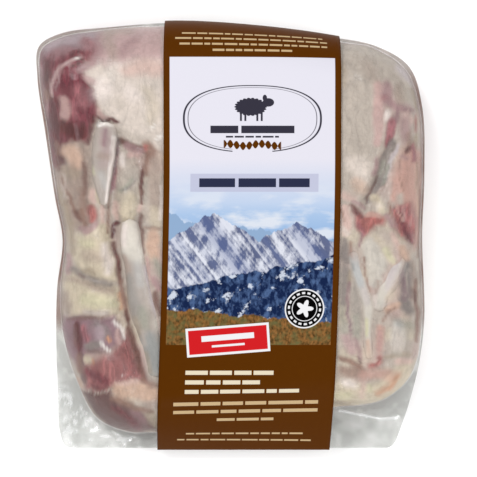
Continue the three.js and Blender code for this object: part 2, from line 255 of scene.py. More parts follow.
def radius_at(angles, loop):
    """Where rays from the middle leave the loop."""
    direction = np.stack([np.cos(angles), np.sin(angles)], 1)
    reach = np.zeros(len(angles))
    for a, b in zip(loop, np.roll(loop, -1, 0)):
        cross_a = direction[:, 0] * a[1] - direction[:, 1] * a[0]
        cross_b = direction[:, 0] * b[1] - direction[:, 1] * b[0]
        t = cross_a / np.where(cross_a == cross_b, 1, cross_a - cross_b)
        along = direction @ a * (1 - t) + direction @ b * t
        reach = np.maximum(reach, np.where((cross_a * cross_b <= 0) & (t >= 0), along, 0))
    return reach


# The contents are let out almost to the bag's edge, less so beside the sleeve.
bearing = np.arctan2(contents_loop[:, 1], contents_loop[:, 0])
reach = np.hypot(*contents_loop.T)
let_out = np.clip(radius_at(bearing, bag_loop) - reach - 0.8, 0, 1.3)
let_out *= ease(beside_sleeve(contents_loop), 2, 14)
contents_loop *= (1 + let_out / reach)[:, None]


def ring_faces(rings, around):
    """Quads between neighbouring rings of points."""
    k = np.arange(around)
    following = (k + 1) % around
    faces = []
    for a in range(0, (rings - 1) * around, around):
        b = a + around
        faces += np.stack([a + k, b + k, b + following, a + following], 1).tolist()
    return faces


def add_piece(name, points, faces, material, replaced, tones=None):
    """A named mesh from points in millimetres, riding on the pack's one body."""
    mesh = bpy.data.meshes.new(name)
    mesh.from_pydata((np.asarray(points) * MM).tolist(), [], faces)
    mesh.validate()
    mesh.polygons.foreach_set("use_smooth", np.ones(len(mesh.polygons), bool))
    if tones is not None:
        add_tones(mesh, tones)
    mesh.materials.append(material)
    piece = bpy.data.objects.new(name, mesh)
    bpy.context.scene.collection.objects.link(piece)
    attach(piece, "root")
    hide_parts(replaced)
    return piece


def add_tones(mesh, tones):
    layer = mesh.attributes.new("tone", "FLOAT_COLOR", "POINT")
    rgba = np.ones((len(mesh.vertices), 4), np.float32)
    rgba[:, :3] = tones
    layer.data.foreach_set("color", rgba.ravel())
    mesh.update()


def linear(*seen):
    """A colour as it looks on a screen, 0 to 255, turned into amounts of light."""
    seen = np.array(seen) / 255
    return np.where(seen < 0.04045, seen / 12.92, ((seen + 0.055) / 1.055) ** 2.4)


FILM_VEIL = 0.045        # light that the film itself sends back
FILM_GAIN = 1.25         # share of the flesh's own brightness that comes through

# The flesh's tones, each given as it looks through the film. The crevice tone is painted shade for
# the creases.
TONES = {name: np.clip((linear(*seen) - FILM_VEIL) / FILM_GAIN, 0.01, 0.88) for name, seen in {
    "lean": (122, 78, 83), "deep lean": (104, 66, 70), "dark red": (100, 63, 64),
    "wine": (113, 66, 74), "rose lean": (149, 103, 107), "bright lean": (151, 107, 106),
    "blood": (163, 108, 104), "mauve lean": (150, 121, 124), "lilac lean": (168, 150, 155),
    "mauve": (172, 143, 144), "pale mauve": (193, 166, 164), "plum": (148, 122, 128),
    "lilac": (199, 188, 190), "dull lean": (117, 95, 93), "brown": (148, 120, 109),
    "crevice shade": (122, 94, 88), "black red": (102, 72, 72), "olive": (170, 155, 137),
    "salmon": (194, 158, 147), "orange": (192, 144, 116), "white fat": (227, 215, 209),
    "fat": (214, 202, 193), "grey fat": (189, 178, 168), "dull fat": (171, 154, 144),
    "pink fat": (211, 184, 175), "pink": (195, 165, 160), "peach": (206, 176, 158),
    "tan fat": (200, 172, 154), "cream": (206, 193, 173), "yellow fat": (207, 202, 172),
    "green grey": (164, 162, 150), "bone": (179, 168, 160), "pale bone": (214, 207, 197),
    "bone light": (203, 196, 187), "grey bone": (157, 150, 144), "blue bone": (190, 189, 188),
    "cool bone": (157, 157, 155), "rib mauve": (174, 154, 151), "shade": (143, 134, 130),
    "highlight": (238, 231, 226),
}.items()}

# Larger pieces of meat and fat: tone, outline, soft edge.
FLESH_AREAS = [
    # eye muscle
    ("lean", [(-90, 93), (-77, 94), (-57, 95), (-57.5, 88), (-61, 83), (-65, 79), (-67, 75),
     (-64.5, 69), (-61.5, 66), (-60, 60), (-59.5, 55), (-63, 50), (-65, 42), (-71, 43), (-77, 41.5),
     (-79, 30), (-86, 34), (-91, 66)], 1.6),
    # its silver skin along the far end
    ("lilac lean", [(-88, 92), (-60, 94.5), (-61, 89), (-68, 86), (-77, 85.5), (-86, 84)], 2.2),
    # fat cap
    ("fat", [(-57, 97), (-29, 99), (-29, 38), (-35, 40), (-40, 40.5), (-46, 42.5), (-50.5, 45),
     (-52, 51), (-58.5, 53), (-59.5, 57), (-60, 64), (-64, 68.5), (-66, 74), (-61, 80),
     (-58.5, 87)], 1.4),
    # thinner far part of the cap, with meat showing through
    ("pale mauve", [(-59, 97), (-29, 99), (-29, 79), (-40, 79), (-50, 79), (-57, 77), (-62, 80),
     (-59, 87)], 3.2),
    # belly fat
    ("cream", [(-70, 1), (-64, 2.5), (-58, 6), (-55, 4), (-53.5, -3), (-52, -12), (-50.5, -21),
     (-56, -21.5), (-64, -18.5), (-70, -14.5), (-73, -8)], 1.6),
    # flank fat
    ("cream", [(-76, -18), (-71, -16.5), (-64, -20), (-57, -22.5), (-50.5, -23), (-48, -34),
     (-51, -36.5), (-63, -36), (-74, -36), (-77, -27)], 1.4),
    # shoulder meat
    ("plum", [(-78, -36.5), (-52, -37), (-48, -47), (-56, -53), (-66, -54), (-69, -62),
     (-77, -52)], 1.8),
    ("bright lean", [(-68.5, -60), (-62, -57), (-54, -53), (-50, -46.5), (-46, -42), (-43, -50),
     (-39.5, -61), (-37, -68), (-46, -67), (-53, -69.5), (-57, -72), (-67, -71.5)], 2.2),
    # meat tip
    ("dull lean", [(-69, -72.5), (-54, -71.5), (-51, -75), (-44, -76), (-37, -84), (-33, -90),
     (-45, -91), (-56, -89), (-62, -84)], 1.4),
    # fat lobe
    ("tan fat", [(-53.5, -70), (-51, -67.5), (-45, -66.5), (-38, -68), (-31, -69), (-31, -76),
     (-38, -75), (-45, -74), (-51, -74)], 1.3),
    # right fat cap
    ("grey fat", [(45, 90), (64, 88), (76, 82), (84, 72), (74, 69), (69, 60), (69, 43), (64, 22),
     (58, 16), (45, 16)], 3.2),
    # flank of the right side, meat under a thin skin of fat
    ("salmon", [(77, 38), (82, 41), (90, 40), (90, -2), (84, -6), (80, 4), (77, 14), (74, 26)], 2.6),
    # red flank
    ("rose lean", [(73.5, 13), (82, 15), (84.5, 8), (84, -3), (79.5, -1), (74.5, 4.5)], 2.0),
    # red patch
    ("blood", [(56, 13.5), (60, 9.5), (66, 9), (71, 9), (70, 5.5), (65, 3), (59, -0.5), (57, 5)],
     1.3),
    # chine fat
    ("cream", [(44, -65.5), (54, -66), (64, -68), (73, -65), (77, -60), (87, -57), (83, -67),
     (77.5, -74.5), (71, -77), (58, -80), (44, -83)], 2.0),
]

# Smaller marks, each a path: tone, path, half width, soft edge, strength. The crevice marks, and the
# black red marks that run in creases or beside a bone, are painted shade.
FLESH_MARKS = [
    # eye muscle
    ("mauve lean", [(-81, 82.5), (-74, 84.5)], 2.0, 2.4, 0.8),
    ("rose lean", [(-66, 89), (-62.5, 86), (-64, 81)], 2.6, 3.0, 0.9),
    ("mauve", [(-59.5, 92), (-60, 84), (-61.5, 79)], 1.8, 2.6, 0.9),
    ("mauve", [(-68.5, 74.5), (-65, 76), (-62, 77.5)], 1.6, 1.8, 0.9),
    ("deep lean", [(-72, 82), (-68, 84), (-65, 83)], 1.6, 2.2, 0.6),
    ("deep lean", [(-83.5, 80), (-84, 73), (-84.5, 68)], 1.5, 1.8, 0.9),
    ("mauve lean", [(-87, 77), (-87, 66)], 1.4, 1.4, 0.8),
    ("black red", [(-83, 76), (-83.6, 67), (-82.2, 62)], 1.9, 1.6, 0.9),
    ("mauve lean", [(-69, 87), (-64, 86)], 2.0, 2.5, 0.6),
    ("wine", [(-70, 73), (-66, 67)], 2.2, 3.0, 0.6),
    ("wine", [(-78, 68), (-74, 70.5), (-71, 71)], 2.2, 2.2, 0.9),
    ("wine", [(-74, 76.5), (-69, 79)], 1.4, 1.6, 0.7),
    ("pale mauve", [(-81.5, 63), (-81.7, 69), (-79.5, 74.5), (-76.5, 78), (-72, 79.8), (-68, 81.5)],
     0.7, 0.9, 0.95),
    ("mauve", [(-79, 67), (-78.5, 72), (-76, 76.5)], 0.5, 0.8, 0.8),
    ("mauve lean", [(-72, 74), (-70, 71.5)], 0.6, 1.0, 0.5),
    ("highlight", [(-70, 80.6), (-68, 81.4)], 0.3, 0.5, 0.8),
    ("black red", [(-71.5, 77.8), (-69, 78.2), (-67, 80)], 0.5, 0.8, 0.9),
    ("brown", [(-85, 66.5), (-84, 62)], 1.1, 1.4, 0.8),
    ("rose lean", [(-69, 66), (-67, 61), (-65, 58.5)], 2.8, 2.8, 0.8),
    ("mauve lean", [(-64, 65), (-63, 61.5)], 1.5, 1.6, 0.8),
    ("pink", [(-76.3, 61.5), (-75.2, 57.5), (-76, 53.5)], 2.6, 1.6, 0.85),
    ("rose lean", [(-72.5, 60), (-70.5, 54)], 1.6, 2.0, 0.8),
    ("wine", [(-69, 57), (-66.5, 53.5)], 1.8, 2.2, 0.5),
    ("wine", [(-64, 57), (-62.5, 52)], 1.6, 1.8, 0.9),
    ("dark red", [(-77.5, 50.5), (-72.5, 48), (-70, 45)], 2.8, 2.4, 1),
    ("dark red", [(-67.5, 49.5), (-66.8, 44)], 1.2, 1.4, 0.9),
    ("mauve lean", [(-70.3, 50), (-69.8, 43)], 0.4, 0.8, 0.7),
    ("deep lean", [(-80.5, 62), (-82, 52), (-79.5, 41), (-78, 34)], 2.3, 1.8, 0.9),
    ("dark red", [(-80.5, 54), (-79.2, 46), (-77.6, 35)], 1.2, 1.4, 0.8),
    ("fat", [(-76, 27), (-75.8, 17)], 1.3, 1.8, 0.6),
    ("brown", [(-79.5, 43), (-79, 38)], 1.0, 1.4, 0.7),
    ("mauve", [(-83.5, 62), (-84, 54)], 0.5, 0.9, 0.6),
    # fat cap
    ("mauve", [(-50, 82.5), (-46.5, 87), (-43, 88.5)], 2.2, 3.0, 0.8),
    ("dull fat", [(-55.5, 95), (-54.5, 86), (-53, 80)], 2.4, 2.6, 0.6),
    ("dull fat", [(-57, 94), (-46, 94.5)], 2.4, 2.6, 0.5),
    ("pink fat", [(-47, 74.5), (-38, 76.5), (-31, 75)], 3.2, 4.0, 0.9),
    ("white fat", [(-59.5, 69), (-59, 63), (-55, 67)], 2.6, 3.0, 0.9),
    ("white fat", [(-46, 65.5), (-43, 62)], 2.4, 3.4, 0.7),
    ("grey fat", [(-51, 61), (-49, 57.5)], 1.6, 3.0, 0.5),
    ("cream", [(-38, 66), (-34, 58), (-36, 52)], 2.0, 3.6, 0.5),
    ("pink", [(-60, 57), (-58, 54), (-54, 52.6)], 0.9, 1.2, 0.9),
    ("grey fat", [(-54.5, 51), (-50, 47), (-45, 44.5), (-37, 43.5)], 1.6, 2.8, 0.7),
    ("highlight", [(-36.3, 49), (-34, 51)], 0.5, 0.7, 0.9),
    ("highlight", [(-33.6, 43.8), (-31, 45.5)], 0.6, 0.7, 1),
    ("pale mauve", [(-65.5, 71.5), (-62.5, 68.5)], 1.2, 1.6, 0.8),
    # crevice under the fat cap, darkened with painted shade
    ("crevice shade", [(-50, 43.5), (-46, 41), (-41.5, 39.5), (-37, 40.5)], 1.4, 1.6, 1),
    ("brown", [(-38, 42), (-35, 38.5), (-36, 34)], 1.8, 2.0, 0.9),
    # painted shadow just past the short rib's cut end and down its left edge, in the black red tone
    ("black red", [(-60, 54), (-57, 51.8), (-53, 52.4), (-50.8, 51)], 0.6, 0.8, 1),
    ("black red", [(-62, 54), (-63.5, 49), (-64.5, 42)], 0.9, 1.4, 0.8),
    # left flank
    ("peach", [(-75, 38.5), (-71.5, 36.5), (-70, 33.5)], 3.2, 3.0, 0.9),
    ("olive", [(-77, 30), (-70, 28.5)], 2.0, 2.6, 0.5),
    ("crevice shade", [(-80, 41), (-80, 35), (-78.5, 30)], 1.0, 1.4, 0.7),
    ("crevice shade", [(-67, 33), (-66.4, 27), (-66, 19)], 1.0, 1.6, 0.8),
    ("brown", [(-77, 27), (-74, 19), (-70.5, 10.5)], 0.7, 1.0, 0.9),
    ("brown", [(-67.5, 20), (-66, 12)], 1.8, 2.2, 0.6),
    ("olive", [(-79, 22), (-75.5, 12), (-73, 2), (-72.5, -7)], 1.6, 1.8, 0.8),
    ("crevice shade", [(-70, 10.5), (-68.5, 7)], 1.2, 1.3, 0.9),
    ("pink fat", [(-62.5, 20), (-62, 16)], 1.6, 1.6, 1),
    ("cream", [(-59.5, 20), (-58.5, 15)], 1.4, 1.6, 0.9),
    ("pink fat", [(-58.2, 13), (-58, 6)], 1.2, 1.5, 0.9),
    ("blood", [(-63, 12.5), (-62.5, 6.5)], 1.8, 1.8, 0.95),
    ("brown", [(-67.5, 11), (-66, 5)], 1.4, 1.6, 0.9),
    ("mauve", [(-68.5, 3.5), (-64, 2.5), (-61, 4.5)], 1.2, 1.5, 0.8),
    # between the ribs
    ("grey fat", [(-49, 38), (-45.5, 30), (-46, 18)], 4.0, 2.4, 0.8),
    ("white fat", [(-49.5, 37), (-49, 32)], 1.2, 1.6, 0.8),
    ("pink", [(-45.5, 37), (-41.5, 36.5)], 1.4, 1.6, 0.9),
    ("mauve", [(-47.5, 41.5), (-43, 39), (-39.5, 38)], 1.6, 1.4, 0.8),
    ("cream", [(-46, 17.5), (-46.5, 6.5)], 3.4, 2.4, 1),
    ("green grey", [(-50.5, 21), (-48, 22.5), (-44.5, 25.5)], 0.9, 1.3, 0.9),
    ("shade", [(-49.6, 21.3), (-46, 22.8), (-42, 25.5)], 0.4, 0.9, 0.8),
    ("pink fat", [(-51.5, 15), (-51.5, 8)], 1.2, 1.4, 0.9),
    ("blood", [(-38.5, 41.5), (-38, 37)], 0.7, 1.0, 0.9),
    ("brown", [(-37.5, 37), (-37.8, 28)], 1.3, 1.6, 0.9),
    ("dull fat", [(-34, 33), (-34, 14)], 2.8, 2.2, 0.8),
    ("cream", [(-34.5, 12), (-34, 5)], 2.6, 2.4, 0.7),
    ("white fat", [(-31, 22), (-32.5, 8)], 0.7, 0.8, 0.7),
    ("crevice shade", [(-39.5, 31), (-40, 21.5), (-40.5, 14.5)], 0.8, 1.0, 1),
    ("black red", [(-39.6, 29), (-40, 22)], 0.5, 0.8, 0.8),
    ("pink fat", [(-41, 13), (-42, 10.5)], 0.9, 1.2, 0.9),
    ("crevice shade", [(-40.8, 9), (-40.3, 2), (-39.5, -8)], 0.8, 1.1, 0.9),
    ("brown", [(-38.5, 4), (-32, 3.5)], 0.8, 1.3, 0.6),
    ("peach", [(-35.5, 1), (-34.5, -8)], 2.8, 2.2, 1),
    ("pink", [(-38, -9.5), (-36, -18), (-32.5, -25)], 0.5, 0.8, 1),
    ("green grey", [(-34, -11), (-31.5, -17)], 1.6, 2.0, 0.8),
    ("mauve", [(-34.5, -19), (-32, -24)], 1.4, 1.6, 0.8),
    ("crevice shade", [(-33.8, -26), (-31.8, -35)], 1.3, 1.6, 0.9),
    # ribs' own shadows
    ("mauve", [(-51.3, 43), (-52, 35), (-52.8, 26), (-53.8, 19)], 0.7, 0.8, 1),
    ("rose lean", [(-52.2, 30), (-53, 21)], 0.8, 0.9, 0.9),
    ("black red", [(-51.6, 40), (-52.3, 28)], 0.35, 0.6, 0.7),
    ("black red", [(-51, 6), (-53, 3.5), (-54, -1)], 0.9, 1.0, 1),
    ("brown", [(-54.5, 18), (-55, 9), (-55.8, 1)], 0.6, 0.9, 0.8),
    ("crevice shade", [(-53, -3.5), (-52, -11.5), (-50, -21.5)], 1.2, 1.3, 1),
    ("black red", [(-52.4, -7), (-51, -16)], 0.5, 0.8, 0.8),
    ("brown", [(-50, -21.5), (-48, -30.5), (-46.5, -38)], 1.1, 1.4, 1),
    ("black red", [(-47, -34), (-45.8, -40)], 0.8, 1.1, 0.8),
    ("crevice shade", [(-46, -42), (-44, -50), (-41.5, -58), (-39.5, -66)], 1.4, 1.8, 0.95),
    ("orange", [(-50.6, -26), (-49.8, -33)], 0.8, 1.2, 0.7),
    # belly and flank fat
    ("white fat", [(-56.5, -5), (-55.5, -16)], 1.8, 2.2, 0.8),
    ("dull fat", [(-66, -9), (-59, -10)], 2.4, 3.2, 0.5),
    ("yellow fat", [(-67, -3), (-63, -4)], 2.2, 2.6, 0.6),
    ("mauve", [(-74.5, -9), (-73.8, -17)], 1.2, 1.8, 0.9),
    ("olive", [(-66, -15.5), (-61, -16.5)], 1.2, 1.7, 0.6),
    ("shade", [(-72, -15), (-68, -18), (-61.5, -20.5), (-55, -22)], 1.4, 2.0, 0.8),
    ("crevice shade", [(-68.5, -17.4), (-66, -19)], 0.5, 0.8, 0.6),
    ("dull fat", [(-75, -19.5), (-70, -20.5), (-60, -24), (-54, -25)], 1.2, 2.0, 0.7),
    ("yellow fat", [(-66, -29), (-53.5, -30)], 2.6, 3.2, 0.7),
    ("dull fat", [(-76, -26), (-74.5, -34)], 1.6, 2.4, 0.8),
    ("lilac", [(-66, -34.5), (-56, -35)], 1.0, 1.8, 0.5),
    ("crevice shade", [(-75, -37.5), (-66, -37.5), (-58, -37)], 0.7, 1.2, 0.7),
    # shoulder meat
    ("crevice shade", [(-70.5, -41), (-70.5, -50)], 1.6, 1.8, 0.8),
    ("dull lean", [(-69, -54), (-67.5, -66)], 1.8, 1.6, 0.8),
    ("deep lean", [(-70, -40), (-69, -46), (-69.5, -52)], 1.5, 1.8, 0.8),
    ("black red", [(-71, -40), (-69.5, -44), (-70.5, -48)], 0.4, 0.6, 0.9),
    ("shade", [(-61, -40.5), (-57, -45)], 2.4, 2.4, 0.6),
    ("rose lean", [(-67, -41), (-65.5, -47)], 1.3, 1.5, 0.9),
    ("lilac lean", [(-60.5, -43), (-59.5, -49)], 2.0, 1.8, 0.9),
    ("shade", [(-65, -50), (-60.5, -50.5)], 2.2, 1.6, 0.9),
    ("dull lean", [(-65, -53), (-57.5, -54)], 0.6, 1.0, 0.7),
    ("orange", [(-56, -46), (-54.8, -47)], 0.9, 1.1, 0.9),
    ("pink", [(-52, -43), (-51, -48)], 1.2, 1.4, 0.8),
    ("highlight", [(-53, -39.5), (-51, -41), (-48.8, -42.8), (-48.5, -46)], 0.7, 0.9, 0.8),
    ("highlight", [(-59.5, -48.5), (-57.5, -51), (-55, -52.5)], 0.6, 0.8, 0.9),
    ("cream", [(-66, -56), (-64, -57)], 1.5, 1.5, 1),
    ("orange", [(-62.3, -56.5), (-62, -58)], 0.6, 0.9, 0.6),
    ("brown", [(-70, -54), (-69.5, -62)], 1.4, 1.6, 0.8),
    ("wine", [(-65.5, -62), (-60, -65), (-56, -66.5)], 2.0, 2.4, 0.8),
    ("deep lean", [(-64, -68), (-58, -70)], 1.2, 1.8, 0.7),
    ("highlight", [(-49, -63.5), (-48.4, -63.5)], 0.4, 0.6, 0.6),
    ("grey fat", [(-68, -71.8), (-62.5, -71.6), (-57, -70.6), (-53.5, -70.2)], 0.35, 0.5, 0.9),
    # painted shade under the thin crease line, in the black red tone
    ("black red", [(-67, -73), (-59, -72.4), (-54, -71.6)], 0.6, 0.8, 0.7),
    ("wine", [(-52, -79), (-47.5, -82.5), (-43, -88)], 1.6, 2.4, 0.6),
    ("mauve lean", [(-44, -80), (-40, -85)], 1.8, 2.4, 0.7),
    ("brown", [(-53, -74), (-48, -75.5), (-41, -78.5), (-36, -81)], 1.3, 1.7, 0.9),
    ("dull fat", [(-37, -77), (-33, -77)], 1.8, 2.4, 0.8),
    ("pink fat", [(-51, -67.8), (-46, -66.8), (-43, -67)], 0.9, 1.4, 0.8),
    ("brown", [(-40, -66), (-37, -68), (-33, -68)], 1.0, 1.4, 0.7),
    ("olive", [(-37, -83), (-33, -88)], 1.8, 2.2, 0.7),
    ("peach", [(-70.5, -66), (-69, -70)], 1.0, 1.4, 0.8),
    # right shoulder
    ("lilac", [(78, 77), (83, 71.5)], 2.2, 2.6, 0.9),
    ("dull fat", [(62, 77), (66, 71)], 2.4, 3.6, 0.4),
    ("pink", [(67.8, 69), (67.3, 56), (66.8, 43)], 2.2, 1.8, 0.9),
    ("olive", [(51.5, 78), (51.7, 68)], 1.0, 1.8, 0.5),
    ("mauve", [(71.5, 68), (71.5, 63)], 2.4, 2.0, 0.9),
    ("rose lean", [(70, 63), (72.5, 60.5)], 1.6, 2.2, 0.7),
    ("mauve", [(71.5, 61), (76, 59), (80.5, 58.2)], 2.2, 1.8, 0.9),
    ("dull fat", [(77, 68), (77.5, 62)], 2.0, 2.2, 0.7),
    ("olive", [(83.5, 68), (85.5, 58)], 0.9, 1.4, 0.9),
    ("mauve lean", [(76, 58), (83.5, 57.5)], 0.8, 1.0, 0.8),
    ("pink fat", [(80, 55), (82.5, 53)], 1.4, 1.5, 0.9),
    ("blood", [(84.5, 55.5), (84.7, 49)], 0.8, 1.1, 0.8),
    ("white fat", [(71, 55.5), (71.2, 53)], 1.5, 1.1, 1),
    ("mauve lean", [(76, 56), (74, 50)], 1.2, 1.3, 0.8),
    ("rose lean", [(73, 51.5), (72.3, 47), (71.5, 41.5)], 2.0, 1.2, 1),
    ("mauve", [(79, 52), (79.5, 44)], 2.4, 2.4, 0.7),
    ("brown", [(81.5, 46.5), (82.5, 41.5)], 1.8, 2.0, 0.6),
    ("olive", [(85.5, 47), (85.5, 41)], 1.0, 1.3, 0.8),
    # right slot
    ("shade", [(73.5, 42), (70.8, 35), (67.5, 27), (63, 16.5)], 2.3, 1.2, 0.85),
    ("green grey", [(70, 34), (67.8, 28)], 0.9, 1.3, 0.7),
    ("crevice shade", [(66, 27), (63.5, 20), (61.8, 15)], 0.5, 0.9, 0.7),
    ("mauve", [(66.3, 35), (64.8, 28)], 1.0, 1.2, 0.9),
    # painted highlight along the slot's right edge, in the lilac tone
    ("lilac", [(76.2, 41), (72.8, 33), (69.5, 25)], 0.8, 0.9, 0.9),
    ("green grey", [(71.8, 32), (69, 24)], 0.8, 1.0, 0.9),
    ("brown", [(76.8, 34), (77.5, 27), (79.5, 20)], 0.35, 0.7, 0.7),
    ("dark red", [(80, 38.5), (83, 40)], 0.9, 1.3, 0.9),
    ("rose lean", [(84.5, 42), (84.7, 35)], 1.2, 1.5, 0.95),
    ("mauve", [(77.5, 36.5), (80.5, 35.5)], 0.9, 1.3, 0.8),
    ("peach", [(86, 33), (86, 10)], 1.0, 1.5, 0.8),
    ("fat", [(54, 33), (60, 31.5), (59, 26)], 3.6, 3.2, 1),
    ("peach", [(57, 24), (60, 21)], 2.4, 2.8, 0.6),
    ("pink fat", [(51.5, 19), (56, 17)], 1.6, 2.2, 0.9),
    ("cream", [(66, 17.5), (68.5, 12)], 2.2, 1.8, 1),
    ("salmon", [(75, 25), (75, 17)], 1.2, 1.6, 1),
    ("grey fat", [(78, 18), (78, 15.5)], 1.2, 1.4, 0.9),
    ("brown", [(73, 16), (73.5, 9)], 0.5, 0.8, 0.9),
    ("dull lean", [(75.5, 13), (76.5, 6)], 0.5, 0.8, 0.8),
    # red flank and red patch
    ("blood", [(79.5, 12), (82, 3)], 1.8, 2.0, 0.5),
    ("wine", [(77, 7), (80, 2.5), (83, -3)], 0.9, 1.3, 0.8),
    ("blood", [(75, 12.5), (77, 6), (79, 0)], 0.5, 0.7, 0.9),
    ("dark red", [(78, 11), (79.5, 4), (81, -1.5)], 0.4, 0.6, 0.8),
    ("salmon", [(76.5, 14), (78.3, 7)], 0.4, 0.6, 0.8),
    ("blood", [(81, 15), (82.5, 8), (84, 1)], 0.5, 0.7, 0.8),
    ("pink", [(79.5, 13), (79, 7)], 0.4, 0.7, 0.7),
    ("pink", [(82, 13), (81.7, 5)], 0.4, 0.7, 0.6),
    ("mauve", [(71.5, 10), (73.5, 5.5)], 1.2, 1.6, 0.9),
    ("salmon", [(62, 9.6), (68.5, 8.6)], 0.9, 1.2, 0.9),
    ("dark red", [(55.5, 13.5), (59, 8.5)], 1.0, 1.2, 0.8),
    ("rose lean", [(58.5, 6), (59.5, 1)], 1.2, 1.4, 0.8),
    ("mauve lean", [(58.5, 1), (58.7, -4)], 0.6, 1.0, 0.8),
    ("mauve", [(56.5, 15.5), (60.5, 12.5)], 0.7, 1.0, 0.8),
    ("pink fat", [(52.5, 12), (53, 2)], 2.4, 2.0, 1),
    ("brown", [(51, 11.5), (51.5, 7)], 0.6, 1.0, 0.8),
    ("fat", [(51.5, 3), (54, 1)], 1.2, 1.5, 0.8),
    ("shade", [(52, -2), (52.2, -11)], 1.8, 1.4, 0.9),
    ("brown", [(54.8, -3), (54.5, -10.5)], 0.7, 1.0, 0.8),
    ("cream", [(66.5, 0.5), (69, -3)], 1.4, 1.8, 0.5),
    ("pink fat", [(74, 1), (77, -5)], 1.6, 1.8, 0.9),
    ("yellow fat", [(70.5, -6), (74, -11)], 1.4, 1.8, 0.7),
    ("peach", [(79, -6), (81, -11)], 1.8, 2.0, 0.9),
    # wedge of fat between the chine's arms
    ("bone light", [(63.5, -4), (66.5, -12), (66, -20)], 3.8, 2.0, 0.9),
    ("brown", [(61.3, -10), (61.3, -17), (63.5, -25)], 0.4, 0.7, 0.8),
    ("dull fat", [(67.5, -20), (66, -25.5)], 0.5, 0.8, 0.8),
    ("white fat", [(66, -27), (66.5, -32)], 1.2, 1.5, 0.7),
    # chine
    ("green grey", [(51.5, -30), (51.5, -44)], 1.1, 1.4, 0.6),
    ("shade", [(52, -14), (52.2, -30)], 1.6, 1.6, 0.8),
    ("grey bone", [(54, -9), (55, -13)], 0.7, 1.0, 0.9),
    ("olive", [(54, -16), (53.8, -22)], 0.8, 1.2, 0.8),
    ("mauve lean", [(53.8, -22), (54, -32)], 0.6, 0.9, 0.9),
    ("plum", [(54, -32), (54, -45)], 0.6, 0.9, 1),
    ("grey fat", [(57.5, -29), (57, -46)], 2.4, 2.4, 1),
    ("grey bone", [(57, -23), (57.5, -37)], 1.8, 1.8, 0.5),
    ("green grey", [(57, -38), (57.5, -46)], 1.6, 2.2, 0.7),
    ("shade", [(81.5, -14), (80, -22), (79.5, -30), (81, -33)], 2.8, 2.6, 1),
    ("plum", [(79, -17), (79.5, -28.5)], 1.6, 2.0, 0.6),
    ("grey fat", [(81.2, -15), (79.8, -27)], 0.4, 0.7, 0.6),
    ("plum", [(83.2, -16), (82.3, -28)], 0.5, 0.8, 0.5),
    ("dull fat", [(84, -12), (85.5, -24)], 1.0, 1.6, 0.8),
    ("green grey", [(76, -39.5), (83, -41)], 2.2, 2.6, 0.6),
    ("peach", [(71.5, -33), (76, -31.5)], 1.5, 1.8, 0.9),
    ("brown", [(69.5, -39), (72, -34.5), (75, -32.5)], 0.6, 1.0, 0.7),
    ("blue bone", [(77, -41), (76.5, -49)], 3.0, 3.0, 0.6),
    ("salmon", [(67.8, -42), (67.8, -52)], 1.6, 1.6, 0.9),
    ("mauve", [(67.8, -44), (67.8, -52)], 1.0, 1.4, 0.5),
    ("brown", [(85.4, -20), (85.6, -48)], 1.0, 1.2, 1),
    ("brown", [(86, 34), (87, 12), (86.5, -10)], 0.6, 1.0, 0.7),
    ("dark red", [(85, -24), (85.2, -30)], 0.5, 0.9, 0.7),
    # chine foot
    ("pale mauve", [(52.5, -46.5), (55.5, -52)], 2.2, 2.2, 0.9),
    ("mauve", [(57, -47), (59, -52), (59, -56)], 1.0, 1.3, 0.8),
    ("black red", [(58.2, -55.5), (58.8, -58.5)], 0.5, 0.8, 0.7),
    ("brown", [(50, -55.5), (54, -56.8), (58, -59.5)], 1.3, 1.7, 0.9),
    ("blood", [(63.5, -59.5), (68, -58), (68.5, -55)], 1.2, 1.5, 0.9),
    ("pink fat", [(66, -57), (67, -56.5)], 0.5, 0.7, 0.8),
    ("brown", [(50, -61.5), (60, -62)], 2.0, 2.2, 0.7),
    ("salmon", [(60, -63), (72, -62.5)], 2.2, 2.4, 0.8),
    ("olive", [(71, -55), (84, -54.5)], 0.9, 1.4, 0.6),
    ("green grey", [(75.5, -53.5), (78, -54.5)], 0.8, 1.4, 0.7),
    ("pink fat", [(77, -58), (83.5, -58)], 1.5, 1.8, 0.9),
    ("peach", [(72, -65), (77, -64)], 1.8, 2.2, 0.9),
    ("white fat", [(52, -66.5), (56, -67.5)], 1.6, 2.2, 0.8),
    ("pink fat", [(60.5, -66), (61, -74)], 1.1, 1.6, 0.8),
    ("yellow fat", [(63.5, -68), (64, -71)], 1.1, 1.6, 0.7),
    ("yellow fat", [(47, -73), (54, -72.5)], 1.8, 2.2, 0.7),
    ("olive", [(46, -77.5), (55, -76.5)], 1.2, 1.6, 0.7),
    ("orange", [(68.5, -72.5), (73, -70), (77, -65)], 1.4, 1.8, 0.8),
    ("fat", [(76.6, -44.5), (76.8, -52)], 2.8, 2.4, 0.65),
    ("fat", [(64, 14), (68, 13.5)], 1.6, 2.0, 0.6),
]


def toned(colour, tone, share):
    """The colours moved towards another tone, by a share for each point."""
    return colour + share[:, None] * (tone - colour)


def paint(points, ground, areas, marks, wander=1.0):
    """Colours the points: a ground, then areas, then marks over it, all with uneven edges."""
    flat = points[:, :2]
    shift = np.stack([soft_noise(flat, 6, seed) for seed in (21, 22)], 1) * 0.9
    shift += np.stack([soft_noise(flat, 2.2, seed) for seed in (23, 24)], 1) * 0.45
    place = flat + wander * shift
    colour = np.array(ground, float)
    for tone, outline, soft in areas:
        mask = ease(depth_inside(place, outline), -1.2 * soft, 1.2 * soft)
        colour = toned(colour, TONES[tone], mask)
    for tone, path, half_width, soft, strength in marks:
        margin = half_width + 1.2 * soft
        low, high = np.min(path, axis=0) - margin, np.max(path, axis=0) + margin
        near = np.all((place > low) & (place < high), axis=1)
        if near.any():
            distance, along = path_distance(place[near], path)
            width = half_width * (0.8 + 0.2 * np.sin(np.pi * along))
            mask = strength * (1 - ease(distance, width - 0.6 * soft, width + 0.8 * soft))
            colour[near] = toned(colour[near], TONES[tone], mask)
    return colour


